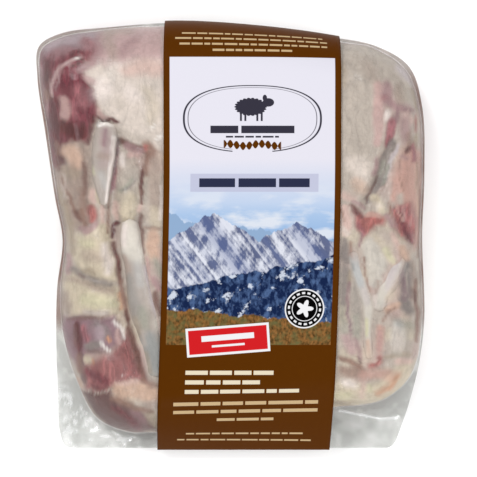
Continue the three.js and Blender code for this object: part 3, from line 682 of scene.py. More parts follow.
def layered_flesh(points):
    """Meat and fat as they lie on the sides and the under side: long lenses of each."""
    stretched = points * (1, 1, 2.4)
    lens = soft_noise(stretched, 34, 31) + 0.5 * soft_noise(stretched, 13, 32)
    lens += 0.22 * soft_noise(points, 4.5, 33)
    hue = soft_noise(points, 16, 34)
    fat = toned(TONES["fat"], TONES["pink fat"], ease(hue, -0.3, 0.6))
    lean = toned(TONES["lean"], TONES["blood"], ease(hue, -0.2, 0.7))
    return toned(toned(fat, TONES["mauve"], ease(lens, 0.02, 0.14)), lean, ease(lens, 0.14, 0.3))


SIDES_FROM, SIDES_FULL = 21, 27      # this far below the crown, layered flesh takes over

# The upper rack's own ribs, flush in the under side: the ones that the sleeve leaves in sight.
BACK_RIBS = [[(x, 44), (x - lean, 12), (x - 1.6 * lean, -22), (x - 1.8 * lean, -52)]
             for x, lean in ((-66, -2.4), (-46, -1.6), (58, 2.5), (76, 3.2))]
BACK_RIB_WIDTH = [4.2, 5.2, 5.4, 4.4]


def flesh_tones(points):
    """The tone of every point of the flesh."""
    x, y, z = points.T
    blush = 0.55 * ease(soft_noise(points, 11, 41), -0.2, 0.8)
    tallow = 0.6 * ease(soft_noise(points, 9, 42), 0, 0.8)
    flank = (1 - ease(x, -66, -60)) * ease(y, 0, 6)
    colour = toned(toned(TONES["grey fat"], TONES["pink"], blush), TONES["cream"], tallow)
    colour = toned(colour, TONES["dull fat"], flank)
    colour = paint(points, colour, FLESH_AREAS, FLESH_MARKS)
    sides = ease(crown(points[:, :2]) - z, SIDES_FROM, SIDES_FULL)
    colour = toned(colour, layered_flesh(points), sides)
    for path in BACK_RIBS:
        gap, along = path_distance(points[:, :2], path)
        veiled = (1 - ease(z, 1, 3)) * (1 - ease(gap, 3.4, 5.4))
        veiled *= ease(np.minimum(along, 1 - along), 0, 0.08)
        colour = toned(colour, TONES["bone"], 0.75 * veiled)
    slanted = np.stack([x + 0.25 * y, 0.3 * y, z], 1)
    mottle = 1 + 0.06 * soft_noise(points, 3.4, 43) + 0.05 * soft_noise(points, 1.6, 44)
    mottle += 0.08 * soft_noise(slanted, 1.8, 45)
    return np.clip(colour * mottle[:, None], 0.01, 0.9)


# The ribs and processes that lie on the shown side: path, half width along it, how far the
# crown stands above the meat, tone, and marks. The meat is sunk a little under each.
FRONT_BONES = {
    "rib_short": (
        [(-55.6, 51.5), (-57, 44), (-57.8, 36), (-58.2, 28), (-57.8, 21), (-57, 14)],
        [5.2, 5.9, 5.6, 4.8, 3.3, 1.5], 1.5, "bone",
        [("rib mauve", [(-56.5, 47), (-56, 39)], 2.8, 2.6, 0.9),
         ("mauve lean", [(-56.8, 48), (-56.8, 41.5)], 1.3, 0.9, 1),
         ("brown", [(-59.5, 36.5), (-55, 35.5)], 1.6, 1.8, 0.5),
         ("rib mauve", [(-58, 33), (-55, 32.5)], 2.0, 2.4, 0.7),
         ("blue bone", [(-58.5, 28), (-56.5, 22)], 1.4, 2.2, 0.5),
         ("yellow fat", [(-62.6, 31), (-61.8, 28)], 0.8, 1.2, 0.5),
         # painted highlight along the rib's right edge, in the white fat tone
         ("white fat", [(-52.3, 45), (-53.2, 38), (-54.2, 30), (-55.3, 22), (-56, 15)],
          0.6, 0.7, 1),
         ("highlight", [(-60, 49.8), (-56, 50.8), (-52.5, 50.4)], 0.6, 0.7, 0.9)]),
    "rib_long": (
        [(-45.6, 7.7), (-45.2, 0), (-44.6, -7), (-43.2, -13), (-42.2, -20), (-41.4, -26),
         (-40.2, -32), (-38.2, -39), (-35, -50), (-32.5, -64)],
        [3.4, 4.9, 5.1, 5.1, 5.2, 5.4, 6.2, 6.6, 6.6, 5.6], 1.7, "bone",
        [("pale bone", [(-46.5, 6), (-45.5, -5), (-42, -9)], 3.6, 3.2, 1),
         ("white fat", [(-48, 5), (-48, -4)], 1.3, 1.5, 0.9),
         ("dull fat", [(-48.5, -9.5), (-46.5, -15), (-45.8, -22)], 1.4, 1.6, 0.9),
         ("shade", [(-42.8, -42), (-41, -50), (-38.5, -62)], 1.6, 1.8, 0.8),
         ("blue bone", [(-42, -13), (-40.5, -22)], 1.6, 2.6, 0.6),
         ("grey bone", [(-45.8, -19), (-44.5, -27), (-42.5, -36)], 2.0, 2.4, 1),
         ("olive", [(-43, -38), (-41.5, -45)], 1.4, 1.8, 0.6),
         ("green grey", [(-40, -33), (-38.5, -42)], 1.8, 2.2, 0.9),
         ("lilac", [(-38.6, -14), (-36.6, -22), (-35, -30), (-33.2, -37)], 0.8, 1.0, 0.9),
         ("pale bone", [(-33.5, -38.5), (-32.5, -42)], 1.4, 1.8, 0.7),
         ("cool bone", [(-36.8, -47), (-33.5, -64)], 4.2, 2.6, 1),
         ("bone", [(-39.4, -44), (-39, -50)], 0.9, 1.3, 0.8),
         ("olive", [(-38.4, -53), (-36.6, -62)], 1.1, 1.5, 0.6)]),
    "chine_bone": (
        [(55.8, -7), (56.8, -14), (58.8, -20), (60.8, -26), (62.8, -32), (62.4, -40), (62.4, -48),
         (63.2, -56)], [3.2, 4.3, 4.1, 4.2, 3.9, 2.5, 2.2, 1.6], 0.3, "bone light",
        [("blue bone", [(55.6, -7), (57, -14), (59, -21)], 2.6, 2.4, 1),
         ("cool bone", [(55.0, -12.5), (55.4, -15)], 0.9, 1.2, 0.9),
         ("cool bone", [(54, -17), (56, -24), (59, -31)], 0.8, 1.3, 0.8),
         ("lilac", [(60.8, -24), (62, -30)], 1.6, 2.0, 0.5),
         ("pale bone", [(64.5, -27), (65, -33)], 1.0, 1.4, 0.8),
         ("yellow fat", [(61.8, -38), (62, -45)], 0.8, 1.1, 0.9),
         ("peach", [(62.6, -48), (63.2, -56)], 1.4, 1.8, 0.8)]),
    "feather_bone": (
        [(78, -9.5), (74.8, -15.5), (71.2, -22), (68.6, -27), (67.2, -34)],
        [3.4, 5.2, 5.0, 3.9, 2.4], 0.3, "bone light",
        [("lilac", [(76, -13), (70.5, -23)], 1.6, 2.4, 0.8),
         ("pale bone", [(70, -19), (68, -29)], 0.9, 1.6, 0.8),
         ("grey bone", [(79.2, -16), (75.2, -23), (71.8, -29)], 0.9, 1.6, 0.9)]),
}
BONE_BED = 0.6           # how deep the meat is sunk under a bone


def bone_bed(points):
    """How far the meat is sunk under the bones that lie in it."""
    sunk = np.zeros(len(points))
    for path, half_width, proud, *_ in FRONT_BONES.values():
        gap, along = path_distance(points, path)
        half = np.interp(along * (len(path) - 1), np.arange(len(path)), half_width)
        sunk = np.maximum(sunk, min(1, proud) * (1 - ease(gap / half, 0.7, 1.05)))
    return BONE_BED * sunk


# Rings of points lie inset from the edge: 0 is on the edge and 90 in the middle of the pack.
NEAR_EDGE = [5.2, 4.3, 3.5, 2.7, 2, 1.4, 0.9, 0.5, 0.2, 0.05]
UNDER_SIDE = [0.3, 0.9, 1.8, 3, 4.6, 6.6, 9, 12, 16, 21, 27, 34, 42, 52, 64, 78]
FLESH_SECTORS = 700
EDGE_GAP = 0.45          # the flesh ends this far inside the film's edge


def rays(sectors):
    """Directions all round the pack, as angles and as arrows."""
    turn = 2 * np.pi * np.arange(sectors) / sectors
    angles = turn - 0.16 * np.sin(2 * turn)
    return angles, np.stack([np.cos(angles), np.sin(angles)], 1)


def inset_ring(ray, reach, inset):
    return ray * (reach * (1 - inset / 90))[:, None]


def closed_shell(rings, top, under):
    """Points and faces of a shell of rings, closed by a middle point at the top and below."""
    sectors = len(rings[0])
    points = np.vstack([*rings, [0, 0, top], [0, 0, under]])
    faces = ring_faces(len(rings), sectors)
    last = (len(rings) - 1) * sectors
    for k in range(sectors):
        following = (k + 1) % sectors
        faces.append([len(points) - 2, k, following])
        faces.append([len(points) - 1, last + following, last + k])
    return points, faces


def flesh_body():
    """One closed block of flesh: rings of points from the crown over the edge to the base."""
    angles, ray = rays(FLESH_SECTORS)
    reach = radius_at(angles, contents_loop)
    rings = []
    for inset in [82, 75, 70, *np.arange(66, 6, -1.0), *NEAR_EDGE]:
        place = inset_ring(ray, reach, inset)
        height = flesh_top(place) - bone_bed(place)
        rings.append(np.column_stack([place * (1 - EDGE_GAP / 90), height]))
    edge = ray * (reach - EDGE_GAP)[:, None]
    rings.append(np.column_stack([edge, seam_height(ray[:, 1] * reach)]))
    for inset in UNDER_SIDE:
        place = inset_ring(ray, reach, inset)
        rings.append(np.column_stack([place, under_height(place, SKIN)]))
    middle = np.zeros((1, 2))
    return closed_shell(rings, flesh_top(middle)[0], under_height(middle, SKIN)[0])


def feed(tree, node, inputs):
    """Fills a node's inputs: numbers and colours are set, sockets and values are linked."""
    for key, value in inputs.items():
        value = value.socket if isinstance(value, Value) else value
        if isinstance(value, bpy.types.NodeSocket):
            tree.links.new(value, node.inputs[key])
        else:
            node.inputs[key].default_value = value
    return node


def add_node(tree, kind, inputs=None, **settings):
    """A new shader node with its settings and inputs."""
    node = tree.nodes.new("ShaderNode" + kind)
    for name, value in settings.items():
        setattr(node, name, value)
    return feed(tree, node, inputs or {})


class Value:
    """A number that varies over a surface, with the sums and edges that effects are made of."""

    def __init__(self, tree, socket):
        self.tree, self.socket = tree, socket

    def calc(self, operation, *others, clamp=False, first=None):
        terms = (self, *others) if first is None else (first, self)
        node = add_node(self.tree, "Math", dict(enumerate(terms)), operation=operation,
                        use_clamp=clamp)
        return Value(self.tree, node.outputs[0])

    def __add__(self, other):
        return self.calc("ADD", other)

    def __sub__(self, other):
        return self.calc("SUBTRACT", other)

    def __rsub__(self, other):
        return self.calc("SUBTRACT", first=other)

    def __mul__(self, other):
        return self.calc("MULTIPLY", other)

    def __truediv__(self, other):
        return self.calc("DIVIDE", other)

    def size(self):
        return self.calc("ABSOLUTE")

    def larger(self, other):
        return self.calc("MAXIMUM", other)

    def below(self, edge, soft=0.12):
        """1 where the number is under the edge, 0 over it."""
        return ((edge - self) / soft + 0.5).calc("ADD", 0.0, clamp=True)


def new_group(name, inputs, outputs):
    """A shader group with its input and output nodes: its sockets' names, each with its kind."""
    group = bpy.data.node_groups.new(name, "ShaderNodeTree")
    for direction, sockets in (("INPUT", inputs), ("OUTPUT", outputs)):
        for socket, kind in sockets.items():
            group.interface.new_socket(socket, in_out=direction, socket_type="NodeSocket" + kind)
    return group, group.nodes.new("NodeGroupInput"), group.nodes.new("NodeGroupOutput")


def new_material(name):
    """A material, its node tree and its shader."""
    material = bpy.data.materials.new(name)
    material.use_nodes = True
    return material, material.node_tree, material.node_tree.nodes["Principled BSDF"]


def mark_on_mesh(tree, name, output="Fac"):
    return add_node(tree, "Attribute", attribute_name=name).outputs[output]


def noise_at(tree, place, scale, detail, **more):
    """Noise from about 0 to 1."""
    inputs = {"Vector": place, "Scale": scale, "Detail": detail, **more}
    return Value(tree, add_node(tree, "TexNoise", inputs).outputs["Fac"])


def relief_normal(tree, height, strength, distance):
    inputs = {"Height": height, "Strength": strength, "Distance": distance}
    return add_node(tree, "Bump", inputs).outputs["Normal"]


def flesh_grain():
    """Shader group: fibres in the lean, lobes in the fat, and the small relief of both."""
    group, given, result = new_group(
        "flesh_grain", {"Tone": "Color", "Contrast": "Float"},
        {"Color": "Color", "Height": "Float", "Roughness": "Float"})
    place = add_node(group, "TexCoord").outputs["Object"]

    def fleshy_noise(scale, detail, stretch=(1, 1, 1), turn=0.0):
        mapping = add_node(group, "Mapping", {"Vector": place, "Scale": stretch,
                                              "Rotation": (0, 0, turn)})
        return noise_at(group, mapping.outputs["Vector"], scale, detail)

    parts = add_node(group, "SeparateColor", {"Color": given.outputs["Tone"]})
    red, green = (Value(group, parts.outputs[name]) for name in ("Red", "Green"))
    lean = (red / (green + 0.01) - 1.35).calc("MULTIPLY", 1.2, clamp=True)
    fibre = fleshy_noise(900, 4, (1.0, 0.16, 0.6), 0.5)
    cloud = fleshy_noise(330, 5)
    strand = fleshy_noise(210, 3, (1.0, 0.3, 0.5), 0.2)
    vein = 1.0 - (strand - 0.5).size().calc("MULTIPLY", 16.0, clamp=True)
    lobes = add_node(group, "TexVoronoi", {"Vector": place, "Scale": 420},
                     feature="DISTANCE_TO_EDGE")
    edge = Value(group, lobes.outputs["Distance"]).calc("MULTIPLY", 5.0, clamp=True)
    grain = (fibre - 0.5) * (lean * 0.8) + (edge - 0.8) * ((1.0 - lean) * 0.045)
    grain = grain + (cloud - 0.5) * 0.36 + vein * (lean * 0.62 - 0.12)
    shade = grain * Value(group, given.outputs["Contrast"]) + 1.0
    tint = add_node(group, "VectorMath", {0: given.outputs["Tone"], "Scale": shade},
                    operation="SCALE")
    feed(group, result, {"Color": tint.outputs[0], "Height": grain + edge * 0.3,
                         "Roughness": cloud * 0.3 + 0.34})
    return group


grain_group = flesh_grain()


def flesh_material(name, contrast, bump):
    """Moist flesh in the tones painted on the mesh."""
    material, tree, shader = new_material(name)
    tone = mark_on_mesh(tree, "tone", "Color")
    grain = add_node(tree, "Group", {"Tone": tone, "Contrast": contrast}, node_tree=grain_group)
    feed(tree, shader, {
        "Base Color": grain.outputs["Color"], "Roughness": grain.outputs["Roughness"],
        "Normal": relief_normal(tree, grain.outputs["Height"], bump, 0.0004),
        "Specular IOR Level": 0.3})
    return material


raw_flesh = flesh_material("raw_flesh", 0.9, 0.7)


def wedge_cutter():
    """The slanting face between the two racks, closed off as a solid over the far end."""
    x = np.linspace(-100, 100, 41)
    seam = np.interp(x, [-100, -62, -50, -34, 0, 40, 60, 76, 100], [30, 52, 44, 37, 28, 12, 8, 4, 4])
    slope, beyond = 1.5, np.full(len(x), 140.0)
    rows = [(seam + slope * 20, 62), (seam, 42), (seam - slope * 44, -2), (seam - slope * 52, -8),
            (beyond, -8), (beyond, 62)]
    points = np.concatenate([np.column_stack([x, y, np.full(len(x), float(z))]) for y, z in rows])
    columns, count = len(x), len(rows)
    faces = []
    for r in range(count):
        for i in range(columns - 1):
            a, b = r * columns + i, ((r + 1) % count) * columns + i
            faces.append([a, b, b + 1, a + 1])
    faces.append([r * columns for r in range(count)][::-1])
    faces.append([r * columns + columns - 1 for r in range(count)])
    mesh = bpy.data.meshes.new("wedge")
    mesh.from_pydata((points * MM).tolist(), [], faces)
    cutter = bpy.data.objects.new("wedge", mesh)
    bpy.context.scene.collection.objects.link(cutter)
    return cutter


SHARP_EDGE = 0.7         # radians: the edges of the joint between the racks stay sharp

flesh_points, flesh_faces = flesh_body()
cutter = wedge_cutter()
for name, operation in (("upper_rack", "INTERSECT"), ("lower_rack", "DIFFERENCE")):
    rack = add_piece(name, flesh_points, flesh_faces, raw_flesh, "vacuum_pack")
    cut = rack.modifiers.new("cut", "BOOLEAN")
    cut.operation, cut.solver, cut.object = operation, "MANIFOLD", cutter
    shape = bpy.data.meshes.new_from_object(
        rack.evaluated_get(bpy.context.evaluated_depsgraph_get()))
    rack.modifiers.clear()
    rack.data = shape
    shape.name = name
    shape.set_sharp_from_angle(angle=SHARP_EDGE)
    add_tones(shape, flesh_tones(np.array([v.co for v in shape.vertices]) / MM))
bpy.data.objects.remove(cutter)


# ---- rib bones --------------------------------------------------------------------------------
# Flat oval ribs and the chine's thin processes, under a thin membrane. They lie sunk in the meat
# with their crowns proud of it; the upper rack's own ribs lie flush in the under side.

BONE_DEPTH = 0.62        # half thickness of a rib as a share of its half width
STATIONS, AROUND = 56, 28


def smooth_path(path, values, count):
    """More points along a path, evenly spaced, with values that go with them."""
    path = np.asarray(path, float)
    gone = np.concatenate([[0], np.cumsum(np.hypot(*np.diff(path, axis=0).T))])
    at = np.linspace(0, gone[-1], count)
    columns = [*path.T, np.asarray(values, float)]
    rough = np.stack([np.interp(at, gone, column) for column in columns], 1)
    for _ in range(max(2, count // 12)):
        rough[1:-1] = (rough[:-2] + 2 * rough[1:-1] + rough[2:]) / 4
    return rough[:, :2], rough[:, 2]


def bone_crest(points, proud):
    """Height of a bone's crown at points on its path."""
    depth = depth_inside(points, contents_loop)
    seam = seam_height(points[:, 1])
    base = seam + (crown(points) - seam) * quarter_round(depth, SHOULDER)
    base += proud * relief_fade(points, depth) - SKIN
    pressed = np.minimum(base, taut_upper(points) - SKIN)
    return np.where(beside_sleeve(points) < SMOOTH_MARGIN, pressed, base) + 0.2


def bone_points(path, half_width, crest, seed, face_down=False):
    """Rings of a flat oval bone with rounded ends."""
    line, width = smooth_path(path, half_width, STATIONS)
    tangent = np.gradient(line, axis=0)
    tangent /= np.hypot(*tangent.T)[:, None]
    side = np.stack([tangent[:, 1], -tangent[:, 0]], 1)
    length = np.concatenate([[0], np.cumsum(np.hypot(*np.diff(line, axis=0).T))])
    to_end = np.minimum(length, length[-1] - length)
    width = width * (1 + 0.05 * soft_noise(np.column_stack([length, length * 0]), 7, seed))
    width = np.maximum(width * quarter_round(to_end, 0.45 * width), 0.12)
    thick = width * BONE_DEPTH
    turn = 2 * np.pi * np.arange(AROUND) / AROUND
    across, up = (np.sign(wave) * np.abs(wave) ** 0.85 for wave in (np.cos(turn), np.sin(turn)))
    height = crest(line)
    if face_down:
        rise, centre = -thick, height + thick
    else:
        rise, centre = thick, height - thick
    rings = [np.column_stack([line[i] + side[i] * width[i] * across[:, None],
                              centre[i] + rise[i] * up]) for i in range(STATIONS)]
    return np.concatenate(rings), line, width


def membrane(points, line, width, proud):
    """How much of the flesh's tone a bone takes, at its edges and ends, and more if it lies low."""
    gap, along = path_distance(points[:, :2], line)
    share = gap / np.interp(along * (STATIONS - 1), np.arange(STATIONS), width)
    to_end = np.minimum(along, 1 - along) * (STATIONS - 1)
    low, high = 0.3, 1.5
    bare = np.interp(proud, [low, high], [0.3, 0.8])
    cover = np.interp(proud, [low, high], [0.8, 0.35])
    faded_end = np.interp(proud, [low, high], [8, 3])
    return cover * np.maximum(ease(share, bare, bare + 0.3), 1 - ease(to_end, 0, faded_end))


bone_material = flesh_material("rib_bone", 0.55, 0.5)


def add_bone(name, points, tones, grain, seed, cover, face_down=False):
    """A closed bone from its rings, in its tones, under its membrane."""
    faces = ring_faces(STATIONS, AROUND)
    faces += [list(range(AROUND)), list(range((STATIONS - 1) * AROUND, STATIONS * AROUND))[::-1]]
    if face_down:
        faces = [face[::-1] for face in faces]
    tones = tones * (1 + grain * soft_noise(points * (1, 0.3, 1), 1.8, seed)[:, None])
    tones = np.clip(toned(tones, flesh_tones(points), cover), 0.01, 0.9)
    add_piece(name, points, faces, bone_material, "vacuum_pack", tones)


bone_shapes = []
for index, (name, (path, widths, proud, tone, marks)) in enumerate(FRONT_BONES.items()):
    points, line, width = bone_points(path, widths, lambda at: bone_crest(at, proud), 51 + index)
    bone_shapes.append((line, width, bone_crest(line, proud)))
    ground = np.tile(TONES[tone], (len(points), 1))
    tones = paint(points, ground, [], marks, wander=0.5)
    add_bone(name, points, tones, 0.06, 61 + index, membrane(points, line, width, proud))

for index, path in enumerate(BACK_RIBS):
    points, line, width = bone_points(
        path, BACK_RIB_WIDTH, lambda at: np.full(len(at), SKIN - 0.05), 71 + index,
        face_down=True)
    blush = 0.5 * ease(soft_noise(points, 9, 81 + index), 0, 0.7)
    tones = toned(TONES["bone"], TONES["pink"], blush)
    add_bone(f"back_rib_{index + 1}", points, tones, 0.07, 91 + index,
             membrane(points, line, width, 0.3), face_down=True)


# ---- the clear bag ----------------------------------------------------------------------------
# Shrink film drawn tight by the vacuum: it touches the meat and the bones, bridges the narrow
# creases between them, and ends in a narrow weld round the sides and a wide flat flap.

FILM_GRID = 0.6          # spacing of the points where the film's rest is worked out
BRIDGING = 16            # rounds of evening out, more for a stiffer film
FLAP_GAP = 0.2           # half the distance between the flap's two layers
BONE_GAP = 0.3           # the film lies this far over a bone's crown
BONE_OVAL = 2.3          # how full a bone's rounding is under the film: 2 is a plain oval

grid_x = np.arange(-93, 93.01, FILM_GRID)
grid_y = np.arange(-101, 101.01, FILM_GRID)


def film_rest():
    """How far the film stands off the flesh, on a grid over the pack."""
    place = np.stack(np.meshgrid(grid_x, grid_y, indexing="ij"), -1).reshape(-1, 2)
    flesh = flesh_top(place)
    rest = flesh + 0.8 * SKIN
    for line, width, crest in bone_shapes:
        gap, along = path_distance(place, line)
        at = along * (len(line) - 1)
        stations = np.arange(len(line))
        half = np.interp(at, stations, width)
        share = np.clip(gap / half, 0, 1)
        sag = half * BONE_DEPTH * (1 - (1 - share**BONE_OVAL) ** (1 / BONE_OVAL))
        dome = np.interp(at, stations, crest) - sag + BONE_GAP
        rest = np.where(gap < half, np.maximum(rest, dome), rest)
    shape = (len(grid_x), len(grid_y))
    rest = rest.reshape(shape)
    film = rest.copy()
    for _ in range(BRIDGING):
        middle = (film[:-2, 1:-1] + film[2:, 1:-1] + film[1:-1, :-2] + film[1:-1, 2:]) / 4
        film[1:-1, 1:-1] = np.maximum(rest[1:-1, 1:-1], middle)
    return film - flesh.reshape(shape)


film_lift_grid = film_rest()


def film_lift(points):
    """The film's stand-off at any points, read between the grid's."""
    i = np.clip((points[:, 0] - grid_x[0]) / FILM_GRID, 0, len(grid_x) - 1.001)
    j = np.clip((points[:, 1] - grid_y[0]) / FILM_GRID, 0, len(grid_y) - 1.001)
    a, b = i.astype(int), j.astype(int)
    u, v = i - a, j - b
    g = film_lift_grid
    return ((g[a, b] * (1 - u) + g[a + 1, b] * u) * (1 - v)
            + (g[a, b + 1] * (1 - u) + g[a + 1, b + 1] * u) * v)


# Folds pressed into the film: a path, its half width, its height.
FILM_FOLDS = [
    ([(51, -81.6), (60, -83.2), (70, -85.4), (78, -84.8)], 0.9, 0.8),
    ([(-79, -58), (-74, -76), (-66, -86)], 1.3, 0.4), ([(-62, -91), (-68, -95)], 0.8, 0.3),
    ([(-49, -92), (-52, -97.5)], 1.0, 0.5), ([(60, -84), (56, -97)], 1.2, 0.5),
    ([(-68, -86), (-78, -92)], 1.0, 0.5), ([(-40, -92), (-38, -98)], 1.0, 0.4),
    ([(70, -88), (72, -96)], 1.0, 0.5),
]


def fold_height(points):
    height = np.zeros(len(points))
    for path, half_width, tall in FILM_FOLDS:
        height += tall * (1 - ease(path_distance(points, path)[0], 0, 1.4 * half_width))
    return height


def whitening_and_glints(points, spread):
    """Where the flap looks white: along its first fold, whitened stretched film with a painted
    highlight, and painted glints in spots of noise on the flap's left half.
    """
    crease = 1 - ease(path_distance(points, FILM_FOLDS[0][0])[0], 0.15, 0.9)
    crest = ease(soft_noise(points * (1, 1.6), 2.5, 96), 0.25, 0.55)
    crest *= (points[:, 0] < 0) * ease(-points[:, 1], 60, 76)
    return (13 * crease + 8 * crest) * ease(spread, 0.5, 2.5)


def flap_crinkle(points, spread):
    """Small waves of the flap, running out from the contents, and its crumpling."""
    bearing = np.arctan2(points[:, 1], points[:, 0]) * 95
    fan = soft_noise(np.stack([bearing, spread * 0.22], 1), 2.6, 91)
    crumple = soft_noise(points, 4.2, 92) + 0.5 * soft_noise(points, 2.0, 93)
    free = ease(spread, 0.4, 4) * ease(beside_sleeve(points), 1, 7)
    return free * (0.5 * fan + 0.35 * crumple + 0.8 * fold_height(points))


def side_juice(points):
    """Meat juice drawn into the welds along the sides and the far end, as a share."""
    x, y = points.T
    along = ease(y, -48, -34) * (1 - 0.5 * ease(y, 62, 84)) * ease(np.abs(x), 30, 60)
    return along * (0.75 + 0.25 * soft_noise(points, 8, 95))


FILM_SECTORS = 640
FLAP_RINGS = 22
TABLE_GAP = 0.02         # the film's lowest points stay this far above z = 0


def film_body():
    """The bag as one closed shell: shown side, flap, flap's under layer and under side.

    Each ring of points comes with its haze, its grey and painted shade, and its share of juice."""
    angles, ray = rays(FILM_SECTORS)
    inner, outer = radius_at(angles, contents_loop), radius_at(angles, bag_loop)
    none = np.zeros(FILM_SECTORS)
    rings, marks = [], []
    for inset in [82, 74, *np.arange(66, 6, -1.15), *NEAR_EDGE]:
        place = inset_ring(ray, inner, inset)
        lift = np.maximum(film_lift(place), SKIN)
        lift = SKIN + (lift - SKIN) * ease(depth_inside(place, contents_loop), 1, 4)
        rings.append(np.column_stack([place, flesh_top(place) + lift]))
        juice = side_juice(place) * (1 - ease(inset, 0.5, 2.5))
        marks.append((ease(lift, 0.7, 2.2), none, juice))
    shares = np.linspace(0, 1, FLAP_RINGS)
    for side, share in [(1, share) for share in shares] + [(-1, share) for share in shares[::-1]]:
        spread = (outer - inner) * share
        place = ray * (inner + spread)[:, None]
        middle = seam_height(place[:, 1]) + flap_crinkle(place, spread)
        rings.append(np.column_stack([place, middle + side * FLAP_GAP]))
        # haze of the loose film; on the top layer also the whitened fold and the painted glints
        haze = 0.8 * ease(spread, 0.5, 3) + (side == 1) * whitening_and_glints(place, spread)
        # The flap's grey: an uneven tint of the crinkled film, with painted shade added towards the
        # left side and at the rim by the contents.
        uneven = 0.8 + 0.35 * soft_noise(place, 5.5, 97) + 0.2 * soft_noise(place, 2.4, 98)
        uneven *= 1 + 0.2 * ease(-place[:, 0], 50, 75)
        flap_grey_and_shade = uneven * (1.3 - 0.3 * ease(spread, 0.5, 5))
        marks.append((haze, flap_grey_and_shade, side_juice(place)))
    for inset in UNDER_SIDE:
        place = inset_ring(ray, inner, inset)
        height = np.maximum(under_height(place, TABLE_GAP), TABLE_GAP)
        rings.append(np.column_stack([place, height]))
        marks.append((none, none, none))
    centre = np.zeros((1, 2))
    points, faces = closed_shell(rings, flesh_top(centre)[0] + SKIN,
                                 under_height(centre, TABLE_GAP)[0])
    marks = np.array(marks).transpose(1, 0, 2).reshape(3, -1)
    marks = np.hstack([marks, np.zeros((3, 2))])
    return points, faces, dict(zip(("haze", "flap_grey_and_shade", "juice"), marks))


HAZE_WHITE = 0.045       # how much white a full haze adds
CLEAR_WHITE = 0.008      # and how much the clearest film has
GLOSS_SHARE = 0.45       # share of a single clean surface's gloss


def blend(tree, share, first, second):
    """One colour turning into another by a share."""
    return add_node(tree, "Mix", {0: share, 6: first, 7: second}, data_type="RGBA").outputs[2]


def film_material():
    """Clear film: mostly see-through, with its gloss, a slight veil and fine crinkles."""
    material, tree, shader = new_material("clear_film")
    place = add_node(tree, "TexCoord").outputs["Object"]
    crinkle = (noise_at(tree, place, 120, 4, Distortion=0.6) * 0.6
               + noise_at(tree, place, 520, 3, Distortion=1.2) * 0.28)
    normal = relief_normal(tree, crinkle, 0.55, 0.0009)
    feed(tree, shader, {"Base Color": (0.93, 0.94, 0.94, 1), "Metallic": 0.35, "Roughness": 0.13,
                        "Normal": normal})
    haze, flap_grey_and_shade, juice = (mark_on_mesh(tree, name) for name in ("haze", "flap_grey_and_shade", "juice"))
    veil = Value(tree, haze).calc("MULTIPLY_ADD", HAZE_WHITE, CLEAR_WHITE)
    gloss = add_node(tree, "Fresnel", {"IOR": 1.3, "Normal": normal})
    share = Value(tree, gloss.outputs[0]).calc("MULTIPLY_ADD", GLOSS_SHARE, veil, clamp=True)
    # the flap's grey with its painted shade, then juice in the welds
    tint = blend(tree, flap_grey_and_shade, (0.97, 0.97, 0.965, 1), (0.71, 0.715, 0.70, 1))
    tint = blend(tree, juice, tint, (0.52, 0.43, 0.40, 1))
    clear = add_node(tree, "BsdfTransparent", {"Color": tint})
    film = add_node(tree, "MixShader", {0: share, 1: clear.outputs[0], 2: shader.outputs[0]})
    shadow = add_node(tree, "LightPath").outputs["Is Shadow Ray"]
    open_clear = add_node(tree, "BsdfTransparent")
    lit = add_node(tree, "MixShader", {0: shadow, 1: film.outputs[0], 2: open_clear.outputs[0]})
    feed(tree, tree.nodes["Material Output"], {"Surface": lit.outputs[0]})
    return material


film_points, film_faces, film_marks = film_body()
film_piece = add_piece("vacuum_film", film_points, film_faces, film_material(),
                       "vacuum_pack")
for mark, values in film_marks.items():
    layer = film_piece.data.attributes.new(mark, "FLOAT", "POINT")
    layer.data.foreach_set("value", values.astype(np.float32))


# ---- the printed sleeve -----------------------------------------------------------------------
# A band of coated card printed on the outside only, glued end to end under the pack. It runs
# flat down the front, slopes to the flap's edge and rolls over the far end.

SLEEVE_COLUMNS = 48


def sleeve_section(across):
    """One lengthways section of the taut envelope: points [x, y, z] all the way round."""
    steps = np.linspace(0, 100, 400)
    line = np.column_stack([np.full(len(steps), SLEEVE_FAR_X + across), steps])
    far = np.interp(0, depth_inside(line, bag_loop)[::-1], steps[::-1])
    near_steps = np.concatenate([[0.02, 0.4, 0.8, 1.4], np.arange(2, 84, 1.5)])
    far_steps = np.concatenate([[0.02, 0.2, 0.5, 0.8, 1.2, 1.7, 2.3, 3, 4], np.arange(5, 84, 1.5)])
    y = np.concatenate([FLAP_EDGE + near_steps, (far - far_steps)[::-1]])
    front = np.column_stack([sleeve_middle(y) + across, y])
    lean = SLEEVE_NEAR_X + (SLEEVE_FAR_X - SLEEVE_NEAR_X) * (y - FLAP_EDGE) / (far - FLAP_EDGE)
    back = np.column_stack([lean + across, y])[::-1]
    rest = np.maximum(SLEEVE_RECESS, taut_under(back))
    return np.vstack([np.column_stack([front, taut_upper(front)]), np.column_stack([back, rest])])


def moved_out(section, distance):
    """The section moved outwards in its own plane."""
    ahead, behind = np.roll(section, -1, 0), np.roll(section, 1, 0)
    run = (ahead - behind)[:, 1:]
    run /= np.hypot(*run.T)[:, None]
    away = np.column_stack([np.zeros(len(run)), -run[:, 1], run[:, 0]])
    return section + away * distance


